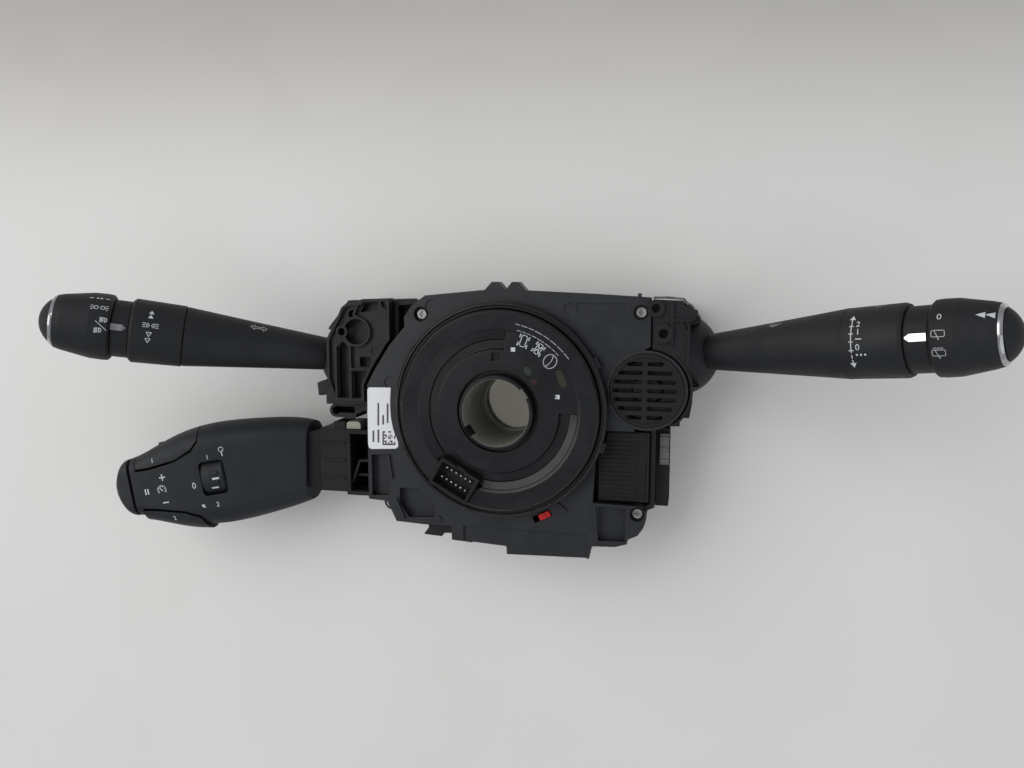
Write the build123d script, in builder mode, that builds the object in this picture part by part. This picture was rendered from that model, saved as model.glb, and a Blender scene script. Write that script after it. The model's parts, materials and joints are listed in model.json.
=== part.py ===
"""Steering-column combination switch: clock spring, two stalks and a cruise paddle on one carrier.

Millimetres. The origin is on the column axis in the plane of the rear cover, +Z points along the
column towards the driver, +X to the driver's right and +Y up.
"""
from build123d import *
from math import asin, atan2, cos, degrees, radians, sin, sqrt
import os

# --- column passage and clock spring --------------------------------------------------------------
jacket_bore = 34.0            # seat on the column's outer tube
jacket_seat_depth = 13.0
shaft_passage = 28.0          # lip that the column shaft goes through
shaft_lip_thickness = 3.0
sleeve_outer = 38.0
sleeve_length = 20.0
hub_bore = 30.8               # passage for the steering wheel's boss
hub_outer = 34.4
rotor_diameter = 93.6
rim_width = 3.4               # visible rim of the clock spring round its rotor
running_clearance = 0.08      # radial, between a journal and its bearing
moving_clearance = 0.5        # between parts that pass each other
fitted_clearance = 0.1        # between fixed parts that seat in each other

# --- levels along the column ----------------------------------------------------------------------
rear_cover_depth = 12.0
plate_back = 40.0             # back face of the front cover
plate_thickness = 5.0
deck_level = 30.0             # shelf that carries the clock spring
deck_thickness = 2.4
rim_proud = 6.5               # stator rim above the front cover
rotor_proud = 9.0             # rotor face above the front cover
hub_proud = 13.0              # wheel boss collar above the front cover
wall = 2.2
screw_radius = 1.6

# --- stalks ---------------------------------------------------------------------------------------
pivot_spacing = 160.0         # between the two stalk pivots
pivot_level = 19.8
stalk_rise = 28.64            # degrees, towards the driver
ball_radius = 19.5
ball_wall = 2.0
ball_reach = 78.0             # degrees of the ball covered by the cap, from the stalk axis
socket_clearance = 0.4
stalk_root_radius = 8.0
button_travel = 1.5

# --- cruise paddle --------------------------------------------------------------------------------
paddle_turn = 10.2            # degrees, paddle axis below the -X direction
paddle_rise = 10.0            # degrees, towards the driver
paddle_length = 96.0          # plug face to end button
paddle_width = 52.8
paddle_thickness = 24.0
paddle_wall = 2.0
edge_button_travel = 0.8
end_button_travel = 1.2
wheel_radius = 10.5
wheel_width = 12.0

# --- derived levels -------------------------------------------------------------------------------
plate_front = plate_back + plate_thickness
rim_front = plate_front + rim_proud
rotor_front = plate_front + rotor_proud
hub_front = plate_front + hub_proud
module_top = plate_back - moving_clearance
module_front = plate_front + 1.0
sleeve_radius = sleeve_outer / 2
hub_radius = hub_outer / 2
hub_inner_radius = hub_bore / 2
rotor_radius = rotor_diameter / 2
rim_radius = rotor_radius + rim_width
rim_inner_radius = rotor_radius + moving_clearance

UPWARD = (Align.CENTER, Align.CENTER, Align.MIN)

os.makedirs("parts", exist_ok=True)


def save(piece, name):
    """Label a finished sub-part and write its STEP file."""
    piece.part.label = name
    export_step(piece.part, f"parts/{name}.step")


def inset_points(points, distance):
    """Corners of an anticlockwise or clockwise outline drawn in by a distance."""
    count = len(points)
    turn = sum(
        points[i - 1][0] * points[i][1] - points[i][0] * points[i - 1][1] for i in range(count)
    )
    inward = distance if turn > 0 else -distance
    moved = []
    for i in range(count):
        (ax, ay), (bx, by), (cx, cy) = points[i - 1], points[i], points[(i + 1) % count]
        first = Vector(bx - ax, by - ay).normalized()
        second = Vector(cx - bx, cy - by).normalized()
        shift = inward / (1 + first.dot(second))
        moved.append((bx - (first.Y + second.Y) * shift, by + (first.X + second.X) * shift))
    return moved


def planform(points, level, inset=0.0):
    """Closed straight-sided face at a level, drawn in by inset."""
    with BuildSketch(Plane.XY.offset(level)) as face:
        with BuildLine():
            Polyline(*inset_points(points, inset), close=True)
        make_face()
    return face.sketch


# --- outlines of the carrier, seen from the driver ------------------------------------------------
carrier_outline = [
    (-54.0, 50.0), (-9.0, 53.0), (10.0, 53.0), (54.0, 49.5), (54.0, 7.0), (57.0, -5.0),
    (71.5, -5.0), (71.5, -44.6), (68.4, -46.0), (67.7, -50.6), (66.0, -54.8), (63.4, -57.8),
    (59.2, -59.9), (58.5, -62.0), (43.0, -62.5), (41.8, -68.8), (2.7, -69.6), (2.4, -65.8),
    (-24.0, -64.0), (-24.4, -57.2), (-37.0, -57.2), (-52.0, -56.5), (-56.5, -47.0),
    (-66.0, -46.0), (-66.0, 7.0), (-54.0, 7.0),
]
cover_outline = [
    (-36.9, 52.8), (-9.5, 55.4), (10.5, 55.4), (45.0, 53.8), (68.5, 52.4), (68.5, 30.5),
    (62.0, 26.0), (62.0, -8.5), (45.2, -8.5), (43.4, -42.5), (65.0, -43.5), (68.0, -45.6),
    (68.1, -49.4), (66.8, -53.4), (64.3, -57.0), (59.9, -59.2), (59.5, -61.4), (54.0, -63.0),
    (43.0, -63.4), (42.0, -69.5), (2.5, -70.3), (2.2, -66.4), (-24.4, -64.6), (-24.8, -57.8),
    (-37.6, -57.8), (-52.5, -57.0), (-57.0, -47.2), (-66.6, -46.6),
    (-66.6, 9.5), (-62.7, 16.9), (-54.9, 29.1), (-47.2, 37.9), (-47.4, 42.4), (-43.6, 48.0),
]
cover_screws = [(-38.9, 44.0), (64.1, 45.7), (64.0, -46.9)]
module_screw = cover_screws[1]  # into the right switch housing
lug_screw = (-58.6, -50.4)
lug_top = 34.0
boss_outer = 4.0
module_boss, module_boss_radius = (70.6, 47.6), 3.9
speaker_radius = 16.8
speaker_wall = 1.4
speaker_cup_radius = speaker_radius + speaker_wall
speaker_bearing = 8.9         # degrees above the +X direction, seen from the column
speaker_reach = rim_radius + speaker_cup_radius - 0.3
speaker_x = speaker_reach * cos(radians(speaker_bearing))
speaker_y = speaker_reach * sin(radians(speaker_bearing))
lock_x, lock_y, lock_turn = 19.6, -50.4, 27.0
lock_slot_length, lock_slot_width = 9.0, 3.4
lock_travel = 3.0
connector_x, connector_y, connector_turn = -20.0, -32.6, -29.4
connector_length, connector_width = 20.5, 13.6
connector_wall = 1.4
board_level = 14.0
board_thickness = 1.6


# ================================= column sleeve and rear cover ===================================
with BuildPart() as bore_sleeve:
    with BuildSketch(Plane.XZ):
        with BuildLine():
            Polyline(
                (jacket_bore / 2, 0),
                (sleeve_radius, 0),
                (sleeve_radius, wall + fitted_clearance),
                (sleeve_radius + 3, wall + fitted_clearance),
                (sleeve_radius + 3, 2 * wall),
                (sleeve_radius, 2 * wall),
                (sleeve_radius, sleeve_length),
                (hub_inner_radius, sleeve_length),
                (hub_inner_radius, jacket_seat_depth + shaft_lip_thickness),
                (shaft_passage / 2, jacket_seat_depth + shaft_lip_thickness),
                (shaft_passage / 2, jacket_seat_depth),
                (jacket_bore / 2, jacket_seat_depth),
                close=True,
            )
        make_face()
    revolve(axis=Axis.Z)
    with BuildSketch(Plane.XY):
        with PolarLocations(sleeve_radius, 3, start_angle=90):
            Rectangle(4.4, 3.0)
    extrude(amount=jacket_seat_depth - 4, mode=Mode.SUBTRACT)
save(bore_sleeve, "bore_sleeve")

with BuildPart() as rear_cover:
    extrude(planform(carrier_outline, 0, 1.0), amount=rear_cover_depth)
    extrude(planform(carrier_outline, wall, 1.0 + wall), amount=rear_cover_depth, mode=Mode.SUBTRACT)
    with Locations((0, 0, 0)):
        Cylinder(sleeve_radius + fitted_clearance, 2 * wall, align=UPWARD, mode=Mode.SUBTRACT)
    for x, y in cover_screws:
        if abs(x) < 60 or y < 0:
            with Locations((x, y, 0)):
                Cylinder(4.0, rear_cover_depth, align=UPWARD)
    for x, y in cover_screws:
        with Locations((x, y, 0)):
            Cylinder(screw_radius + 0.1, rear_cover_depth, align=UPWARD, mode=Mode.SUBTRACT)
    with BuildSketch(Plane.XY):
        with GridLocations(11.0, 0, 4, 1):
            with Locations((0, -46)):
                SlotOverall(16.0, 3.0, rotation=90)
    extrude(amount=wall, mode=Mode.SUBTRACT)
    with BuildSketch(Plane.XY.offset(wall)):
        with PolarLocations(33.0, 8, start_angle=22.5):
            Rectangle(18.0, 1.4)
    extrude(amount=4.0)
save(rear_cover, "rear_cover")


# ====================================== central housing ===========================================
housing_bottom = rear_cover_depth + fitted_clearance
housing_top = plate_back - fitted_clearance
deck_opening = hub_radius + 2.4
tray_bottom = deck_level + deck_thickness

with BuildPart() as carrier_housing:
    extrude(planform(carrier_outline, housing_bottom), amount=housing_top - housing_bottom)
    extrude(
        planform(carrier_outline, housing_bottom, wall),
        amount=deck_level - housing_bottom,
        mode=Mode.SUBTRACT,
    )
    extrude(
        planform(carrier_outline, tray_bottom, wall),
        amount=housing_top - tray_bottom,
        mode=Mode.SUBTRACT,
    )
    with Locations((0, 0, deck_level)):
        Cylinder(deck_opening, deck_thickness, align=UPWARD, mode=Mode.SUBTRACT)
    for x, y in cover_screws:
        if (x, y) != module_screw:
            with Locations((x, y, housing_bottom)):
                Cylinder(boss_outer, housing_top - housing_bottom, align=UPWARD)
                Cylinder(screw_radius, 2 * housing_top, mode=Mode.SUBTRACT)
    with Locations((*lug_screw, lug_top - 10.0)):
        Cylinder(boss_outer, 10.0, align=UPWARD)
        Cylinder(screw_radius, 2 * housing_top, mode=Mode.SUBTRACT)
    for foot in (
        [(-38.2, -56.6), (-38.4, -61.4), (-40.8, -64.8), (-31.6, -65.4), (-31.0, -63.6),
         (-26.2, -63.4), (-26.2, -56.6)],
        [(-20.4, -62.0), (-20.4, -67.2), (-16.2, -67.6), (-16.0, -62.0)],
    ):
        extrude(planform(foot, 29.0), amount=9.0)
save(carrier_housing, "carrier_housing")

with BuildPart() as main_board:
    extrude(planform(carrier_outline, board_level, wall + 1.2), amount=board_thickness)
    with Locations((0, 0, board_level)):
        Cylinder(sleeve_radius + 2.0, board_thickness, align=UPWARD, mode=Mode.SUBTRACT)
    for x, y in cover_screws:
        with Locations((x, y, board_level)):
            Cylinder(4.6, board_thickness, align=UPWARD, mode=Mode.SUBTRACT)
    with Locations((30, -30, board_level + board_thickness)):
        Box(14, 14, 2.4, align=UPWARD)
    with Locations((-32, 30, board_level + board_thickness)):
        Box(10, 7, 2.0, align=UPWARD)
    with Locations((36, 30, board_level + board_thickness)):
        with GridLocations(9.0, 0, 3, 1):
            Cylinder(3.2, 7.0, align=UPWARD)
save(main_board, "main_board")

# ======================================== clock spring ============================================
tray_wall_inner = rim_inner_radius + 0.3
tray_wall_outer = tray_wall_inner + 1.2
tray_wall_top = plate_front + 1.5
bearing_radius = hub_radius + running_clearance
bearing_top = plate_front - 2.0
drum_inner = 24.0
drum_outer = 26.0
rotor_skin = 2.4

with BuildPart() as cassette_tray:
    with BuildSketch(Plane.XZ):
        with BuildLine():
            Polyline(
                (bearing_radius, tray_bottom - 3.0),
                (bearing_radius + 2.0, tray_bottom - 3.0),
                (bearing_radius + 2.0, tray_bottom + fitted_clearance),
                (tray_wall_outer, tray_bottom + fitted_clearance),
                (tray_wall_outer, tray_wall_top),
                (tray_wall_inner, tray_wall_top),
                (tray_wall_inner, tray_bottom + 2.0),
                (bearing_radius + 1.8, tray_bottom + 2.0),
                (bearing_radius + 1.8, bearing_top),
                (bearing_radius, bearing_top),
                close=True,
            )
        make_face()
    revolve(axis=Axis.Z)
save(cassette_tray, "cassette_tray")

catch_angles = (27.0, -18.0)
with BuildPart() as cassette_rim:
    with BuildSketch(Plane.XZ):
        with BuildLine():
            Polyline(
                (rim_inner_radius, tray_wall_top + fitted_clearance),
                (tray_wall_outer + fitted_clearance, tray_wall_top + fitted_clearance),
                (tray_wall_outer + fitted_clearance, plate_back + 1.0),
                (rim_radius - 0.5, plate_back + 1.0),
                (rim_radius - 0.5, plate_front + 0.4),
                (rim_radius, plate_front + 1.0),
                (rim_radius, rim_front - 0.8),
                (rim_radius - 0.8, rim_front),
                (rim_inner_radius + 1.3, rim_front),
                (rim_inner_radius + 1.3, rim_front - 1.2),
                (rim_inner_radius, rim_front - 1.2),
                close=True,
            )
        make_face()
    revolve(axis=Axis.Z)
    for angle in catch_angles:
        with Locations(Location((0, 0, plate_front + 1.0), (0, 0, angle))):
            with Locations((rim_radius + 0.3, 0, 0)):
                Box(2.4, 5.0, rim_proud - 2.0, align=UPWARD)
    fillet(cassette_rim.edges().filter_by(GeomType.CIRCLE).group_by(Axis.Z)[-1], 0.3)
save(cassette_rim, "cassette_rim")

cable_turns = 3
cable_pitch = 6.2
cable_thickness = 0.5
cable_height = 11.0
cable_start = drum_outer + 0.4
with BuildPart() as flat_cable:
    with BuildSketch(Plane.XY.offset(tray_bottom + 2.4)):
        with BuildLine():
            centre, radius = 0.0, cable_start
            for half in range(2 * cable_turns):
                side = 1 if half % 2 == 0 else -1
                CenterArc((centre, 0), radius, 0 if side > 0 else 180, 180)
                radius += cable_pitch / 2
                centre += side * cable_pitch / 2
        trace(line_width=cable_thickness)
    extrude(amount=cable_height)
save(flat_cable, "flat_cable")

with BuildPart() as rotor_hub:
    with BuildSketch(Plane.XZ):
        with BuildLine():
            Polyline(
                (hub_inner_radius, sleeve_length + moving_clearance),
                (hub_radius, sleeve_length + moving_clearance),
                (hub_radius, hub_front - 0.6),
                (hub_radius - 0.6, hub_front),
                (hub_inner_radius + 0.4, hub_front),
                (hub_inner_radius, hub_front - 0.4),
                close=True,
            )
        make_face()
    revolve(axis=Axis.Z)
    with BuildSketch(Plane.XY.offset(hub_front)):
        with PolarLocations(hub_inner_radius + 0.3, 2, start_angle=35):
            Rectangle(1.8, 5.0)
    extrude(amount=-9.0, mode=Mode.SUBTRACT)
save(rotor_hub, "rotor_hub")

code_level = 23.0
code_radius = 27.0
code_slots = 36
with BuildPart() as code_disc:
    with BuildSketch(Plane.XY.offset(code_level)):
        Circle(code_radius)
        Circle(hub_radius + fitted_clearance, mode=Mode.SUBTRACT)
        with PolarLocations(code_radius - 2.6, code_slots):
            Rectangle(3.0, 1.8, mode=Mode.SUBTRACT)
    extrude(amount=0.8)
    with BuildSketch(Plane.XY.offset(code_level - 1.2)):
        Circle(hub_radius + 1.6)
        Circle(hub_radius + fitted_clearance, mode=Mode.SUBTRACT)
    extrude(amount=3.2)
save(code_disc, "code_disc")

with BuildPart() as sensor_fork:
    fork_base = board_level + board_thickness
    with Locations((0, -(code_radius + 1.0), fork_base)):
        Box(12, 8, code_level + 5.0 - fork_base, align=UPWARD)
    with Locations((0, -code_radius + 3.0, code_level - 0.7)):
        Box(14, 8, 2.2, align=UPWARD, mode=Mode.SUBTRACT)
save(sensor_fork, "sensor_fork")

# rotor face, from the outside in
annulus_inner = 38.2
dish_outer = 36.4
dish_level = rotor_front - 3.0
raised_outer = 28.4
raised_inner = 19.0
raised_level = rotor_front - 0.4
sector_start, sector_sweep = 0.0, 84.0
with BuildPart() as rotor_disc:
    with BuildSketch(Plane.XZ):
        with BuildLine():
            Polyline(
                (hub_radius + fitted_clearance, dish_level - rotor_skin),
                (drum_inner, dish_level - rotor_skin),
                (drum_inner, tray_bottom + 2.6),
                (drum_outer, tray_bottom + 2.6),
                (drum_outer, dish_level - rotor_skin),
                (rotor_radius - 1.8, dish_level - rotor_skin),
                (rotor_radius - 1.8, tray_wall_top + 0.6),
                (rotor_radius, tray_wall_top + 0.6),
                (rotor_radius, rotor_front - 1.0),
                (rotor_radius - 1.0, rotor_front),
                (annulus_inner, rotor_front - 0.3),
                (annulus_inner - 1.2, rotor_front - 0.9),
                (dish_outer, dish_level),
                (raised_outer + 0.8, dish_level),
                (raised_outer, raised_level),
                (raised_inner, raised_level),
                (raised_inner, dish_level),
                (hub_radius + fitted_clearance, dish_level),
                close=True,
            )
        make_face()
    revolve(axis=Axis.Z)
    with BuildSketch(Plane.XY.offset(dish_level)):
        with BuildLine():
            for radius, direction in ((annulus_inner - 0.6, 1), (raised_outer - 1.0, -1)):
                start = sector_start if direction > 0 else sector_start + sector_sweep
                CenterArc((0, 0), radius, start, direction * sector_sweep)
            for angle in (sector_start, sector_start + sector_sweep):
                inner, outer = raised_outer - 1.0, annulus_inner - 0.6
                direction = Vector(cos(radians(angle)), sin(radians(angle)))
                Line(direction * inner, direction * outer)
        make_face()
    extrude(amount=rotor_front - 0.7 - dish_level)
    with BuildSketch(Plane.XY.offset(rotor_front)):
        with Locations((-0.6, 25.2)):
            Rectangle(4.4, 3.6)
    extrude(amount=-2.4, mode=Mode.SUBTRACT)
    with Locations(Location((connector_x, connector_y, rotor_front), (0, 0, connector_turn))):
        Box(
            connector_length + 2 * fitted_clearance,
            connector_width + 2 * fitted_clearance,
            12.0,
            mode=Mode.SUBTRACT,
        )
save(rotor_disc, "rotor_disc")

connector_top = rotor_front + 3.4
connector_bottom = dish_level - 2.0
connector_floor = connector_bottom + 1.4
with BuildPart() as rotor_connector:
    with Locations(Location((connector_x, connector_y, connector_bottom), (0, 0, connector_turn))):
        Box(connector_length, connector_width, connector_top - connector_bottom, align=UPWARD)
    cavity_depth = connector_top - connector_floor
    with Locations(Location((connector_x, connector_y, connector_floor), (0, 0, connector_turn))):
        Box(
            connector_length - 2 * connector_wall,
            connector_width - 2 * connector_wall,
            cavity_depth,
            align=UPWARD,
            mode=Mode.SUBTRACT,
        )
        with Locations((0, connector_width / 2, cavity_depth - 2.0)):
            Box(5.0, 2 * connector_wall + 0.4, 4.0, align=UPWARD, mode=Mode.SUBTRACT)
save(rotor_connector, "rotor_connector")

pin_columns, pin_rows, pin_pitch, pin_size = 6, 2, 2.54, 0.7
with BuildPart() as rotor_pins:
    with Locations(Location((connector_x, connector_y, connector_floor), (0, 0, connector_turn))):
        with GridLocations(pin_pitch, 2 * pin_pitch, pin_columns, pin_rows):
            Box(pin_size, pin_size, 2.6, align=UPWARD)
save(rotor_pins, "rotor_pins")

lock_foot_depth = 2.0
lock_tab_length = lock_slot_length - lock_travel - 0.6
with BuildPart() as lock_tab:
    lock_place = Location((lock_x, lock_y, plate_back - lock_foot_depth - 0.3), (0, 0, lock_turn))
    with Locations(lock_place):
        with Locations(((lock_slot_length - lock_tab_length) / 2 - 0.3, 0)):
            stem_height = plate_thickness + lock_foot_depth + 1.6
            Box(lock_tab_length, lock_slot_width - 0.6, stem_height, align=UPWARD)
            Box(lock_tab_length + 1.0, lock_slot_width + 1.4, lock_foot_depth, align=UPWARD)
            with Locations((0, 0, stem_height)):
                Box(1.0, lock_slot_width - 0.6, 0.5, align=UPWARD)
save(lock_tab, "lock_tab")

# ========================================= front cover ============================================
speaker_seat = plate_back + 1.2
cup_top = plate_front + 1.2
rib = 1.2                     # thickness of the ribs
rib_proud = 1.2
counterbore_depth = 3.2
plate_cut = 20.0              # cutting depth that clears the plate
with BuildPart() as front_cover:
    extrude(planform(cover_outline, plate_back), amount=plate_thickness)
    with Locations((speaker_x, speaker_y, plate_back)):
        Cylinder(speaker_cup_radius, cup_top - plate_back, align=UPWARD)
    with Locations((0, 0, plate_back)):
        Cylinder(rim_radius - 0.5 + 2 * fitted_clearance, plate_cut, align=UPWARD, mode=Mode.SUBTRACT)
    with Locations((speaker_x, speaker_y, speaker_seat)):
        Cylinder(speaker_radius + fitted_clearance, plate_cut, align=UPWARD, mode=Mode.SUBTRACT)
        Cylinder(speaker_radius - 2.6, plate_cut, mode=Mode.SUBTRACT)
    with Locations((0, 0, plate_front)):
        Cylinder(rim_radius + moving_clearance, plate_cut, align=UPWARD, mode=Mode.SUBTRACT)
    with Locations((*module_boss, plate_back)):
        Cylinder(module_boss_radius + fitted_clearance, plate_cut, mode=Mode.SUBTRACT)
    # lugs above the clock spring
    for lug in (
        [(-8.6, 55.0), (-4.7, 59.2), (-1.6, 59.2), (2.2, 55.0)],
        [(1.4, 55.0), (4.8, 59.2), (7.8, 59.2), (11.6, 55.0)],
    ):
        extrude(planform(lug, plate_back - 3.0), amount=plate_thickness + 2.4)
    # lower step, embossed panel and marks
    extrude(
        planform([(-18.7, -57.2), (40.9, -57.9), (40.9, -72), (-18.7, -72)], plate_front),
        amount=-1.2,
        mode=Mode.SUBTRACT,
    )
    with BuildSketch(Plane.XY.offset(plate_front)):
        with Locations((46.5, 47.4)):
            Rectangle(23.0, 4.2)
        with Locations((31.6, 47.2)):
            RegularPolygon(2.6, 8)
        with Locations((-33.5, 47.6)):
            Circle(3.2)
        with Locations((-57.6, 3.4), (-54.6, 11.2)):
            Circle(3.0)
    extrude(amount=-0.5, mode=Mode.SUBTRACT)
    # blind pockets
    pockets = (
        [(-50.6, -40.2), (-41.0, -40.2), (-33.0, -48.5), (-33.0, -54.0), (-46.0, -54.8), (-50.6, -48.0)],
        [(-64.8, -24.5), (-56.2, -24.0), (-56.2, -44.4), (-64.8, -44.8)],
        [(46.0, -44.4), (58.6, -44.8), (58.6, -60.2), (46.0, -60.6)],
    )
    for pocket in pockets:
        extrude(planform(pocket, plate_back + 1.0), amount=plate_thickness, mode=Mode.SUBTRACT)
    # ribs standing on the plate
    ribs = (
        ((-52.4, -45.4), (-48.2, -55.6)),
        ((-56.0, -24.0), (-54.4, -36.0)),
        ((43.9, -43.2), (45.3, -56.0)),
        ((43.9, -43.0), (64.6, -43.6)),
        ((26.8, -43.6), (31.0, -47.0)),
    )
    for start, end in ribs:
        middle = ((start[0] + end[0]) / 2, (start[1] + end[1]) / 2, plate_front)
        length = sqrt((end[0] - start[0]) ** 2 + (end[1] - start[1]) ** 2)
        turn = degrees(atan2(end[1] - start[1], end[0] - start[0]))
        with Locations(Location(middle, (0, 0, turn))):
            Box(length, rib, 2 * rib_proud)
    with Locations((-31.2, -54.8, plate_front)):
        Cylinder(1.8, 0.8, align=UPWARD)
    with Locations((63.3, 52.0, plate_front - 1.0)):
        Box(1.6, 4.4, 2.0)
    # screws and lock slot
    for x, y in cover_screws:
        with Locations((x, y, plate_front - counterbore_depth)):
            Cylinder(3.5, plate_cut, align=UPWARD, mode=Mode.SUBTRACT)
        with Locations((x, y, plate_back)):
            Cylinder(screw_radius + 0.1, plate_cut, mode=Mode.SUBTRACT)
    with Locations(Location((lock_x, lock_y, plate_back), (0, 0, lock_turn))):
        Box(lock_slot_length, lock_slot_width, plate_cut, mode=Mode.SUBTRACT)
save(front_cover, "front_cover")

# ribbed cover of the connector bay, below the speaker
bay_left, bay_right, bay_low, bay_high = 45.8, 68.8, -41.8, -9.2
with BuildPart() as bay_cover:
    bay_width, bay_height = bay_right - bay_left, bay_high - bay_low
    bay_middle = ((bay_left + bay_right) / 2, (bay_low + bay_high) / 2)
    with Locations((*bay_middle, plate_back)):
        Box(bay_width, bay_height, 2.4, align=UPWARD)
    bay_ribs = 16
    with BuildSketch(Plane.XY.offset(plate_back + 2.4)):
        with Locations((bay_middle[0] - 2.0, bay_middle[1])):
            with GridLocations(0, bay_height / bay_ribs, 1, bay_ribs):
                Rectangle(bay_width - 6.0, bay_height / bay_ribs * 0.45)
        with Locations((bay_right - 2.2, bay_middle[1])):
            Rectangle(1.0, bay_height - 2)
    extrude(amount=0.5)
    with Locations((0, 0, plate_back)):
        Cylinder(rim_radius + moving_clearance, plate_cut, mode=Mode.SUBTRACT)
save(bay_cover, "bay_cover")

# =========================================== speaker ==============================================
slot_rows, slot_pitch, slot_width, slot_web = 7, 4.05, 1.9, 2.0
slot_field_radius = 14.6
grille_back = cup_top - 1.6
with BuildPart() as speaker_grille:
    with Locations((speaker_x, speaker_y, grille_back)):
        Cylinder(speaker_radius, 2.2, align=UPWARD)
    fillet(speaker_grille.edges().group_by(Axis.Z)[-1], 0.6)
    with Locations((speaker_x, speaker_y, grille_back + 1.7)):
        Cylinder(speaker_radius - 1.6, 2.2, align=UPWARD, mode=Mode.SUBTRACT)
    with BuildSketch(Plane.XY.offset(grille_back)):
        for row in range(slot_rows):
            y = (row - (slot_rows - 1) / 2) * slot_pitch
            reach = sqrt(slot_field_radius**2 - y**2)
            length = reach - slot_web / 2
            with Locations(
                (speaker_x - 0.9 - slot_web / 2 - length / 2, speaker_y + y),
                (speaker_x - 0.9 + slot_web / 2 + length / 2, speaker_y + y),
            ):
                SlotOverall(length, slot_width)
    extrude(amount=5.0, mode=Mode.SUBTRACT)
save(speaker_grille, "speaker_grille")

with BuildPart() as speaker_driver:
    with BuildSketch(Plane.XZ):
        with BuildLine():
            Polyline(
                (0, speaker_seat + fitted_clearance),
                (speaker_radius - 0.2, speaker_seat + fitted_clearance),
                (speaker_radius - 0.2, grille_back - fitted_clearance),
                (speaker_radius - 2.2, grille_back - fitted_clearance),
                (speaker_radius - 3.4, speaker_seat + 1.4),
                (7.5, speaker_seat + 0.9),
                (6.0, speaker_seat + 2.2),
                (0, speaker_seat + 2.7),
                close=True,
            )
        make_face()
    revolve(axis=Axis.Z)
speaker_driver.part = speaker_driver.part.moved(Location((speaker_x, speaker_y, 0)))
save(speaker_driver, "speaker_driver")

# ======================================= stalk frames =============================================
class Stalk:
    """One stalk: its pivot, its axis and the planes that its pieces are drawn on."""

    def __init__(self, name, hand, pivot_y, lift, sweep, sizes):
        self.name = name
        self.hand = hand
        self.pivot = Vector(hand * pivot_spacing / 2, pivot_y, pivot_level)
        level = cos(radians(stalk_rise))
        self.outward = Vector(hand * cos(radians(lift)), sin(radians(lift)), 0)
        self.direction = self.outward * level + Vector(0, 0, sin(radians(stalk_rise)))
        self.across = Vector(0, 0, 1).cross(self.outward)
        self.sweep = sweep
        self.__dict__.update(sizes)

    @property
    def axis(self):
        return Axis(self.pivot, self.direction)

    @property
    def profile_plane(self):
        """x runs out along the stalk from the pivot, y is the distance from its axis."""
        return Plane(origin=self.pivot, x_dir=self.direction, z_dir=self.across)

    def section_plane(self, station):
        """Plane across the stalk, y towards the driver."""
        origin = self.pivot + self.direction * station
        return Plane(origin=origin, x_dir=self.across, z_dir=self.direction)

    def level_plane(self, height):
        """x outward, y across, z along the column, through the pivot."""
        origin = self.pivot + Vector(0, 0, height)
        return Plane(origin=origin, x_dir=self.outward, z_dir=(0, 0, 1))

    def turned(self, points):
        """Solid of revolution about the stalk; points are (station, radius)."""
        with BuildPart() as body:
            with BuildSketch(self.profile_plane):
                with BuildLine():
                    Polyline(*points, close=True)
                make_face()
            revolve(axis=self.axis)
        return body.part

    def ball_zone(self, inner, outer, start, end):
        """Part of a spherical shell round the pivot between two angles from the stalk axis."""
        with BuildPart() as body:
            with BuildSketch(self.profile_plane):
                with BuildLine():
                    first = CenterArc((0, 0), outer, start, end - start)
                    if inner > 0:
                        second = CenterArc((0, 0), inner, start, end - start)
                        Line(first @ 0, second @ 0)
                        Line(first @ 1, second @ 1)
                    else:
                        Line(first @ 0, (0, 0))
                        Line(first @ 1, (0, 0))
                make_face()
            revolve(axis=self.axis)
        return body.part


left_stalk = Stalk(
    "left", -1, 20.4, 9.55, 12.0,
    dict(body_end=84.4, ring_end=108.4, knob_start=116.3, knob_end=141.6, tip=147.9,
         body_radius=14.7, ring_radius=15.0, neck_radius=13.4, knob_radius=15.6, nose_radius=11.9,
         pointer_turn=22.0),
)
right_stalk = Stalk(
    "right", 1, 25.4, 7.0, 18.0,
    dict(body_end=105.0, ring_end=105.0, knob_start=114.0, knob_end=137.9, tip=143.9,
         body_radius=15.0, ring_radius=15.0, neck_radius=13.3, knob_radius=15.2, nose_radius=11.6,
         pointer_turn=19.0),
)

# --- mechanism sizes, along the outward direction from the pivot -----------------------------------
frame_half_width = 8.5
frame_half_height = 11.0
frame_reach = 7.5
frame_wall = 2.7
tang_width = 11.0
tang_thickness = 7.0
trunnion_radius = 2.5
lever_pin_radius = 2.0
arm_gap = 0.4
arm_thickness = 2.5
arm_half_width = 5.6
plunger_radius = 2.5
track_radius = 18.3
track_thickness = 3.0
core_radius = 5.0
knob_journal = 10.0
module_floor = 3.0
module_wall = 2.0
arm_level = frame_half_height + arm_gap


def make_ball_cap(stalk):
    """Spherical cap that closes the housing's opening and moves with the stalk."""
    hole = degrees(asin((core_radius + fitted_clearance) / (ball_radius - ball_wall)))
    with BuildPart() as cap:
        add(stalk.ball_zone(ball_radius - ball_wall, ball_radius, hole, ball_reach))
    save(cap, f"{stalk.name}_ball_cap")


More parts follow.
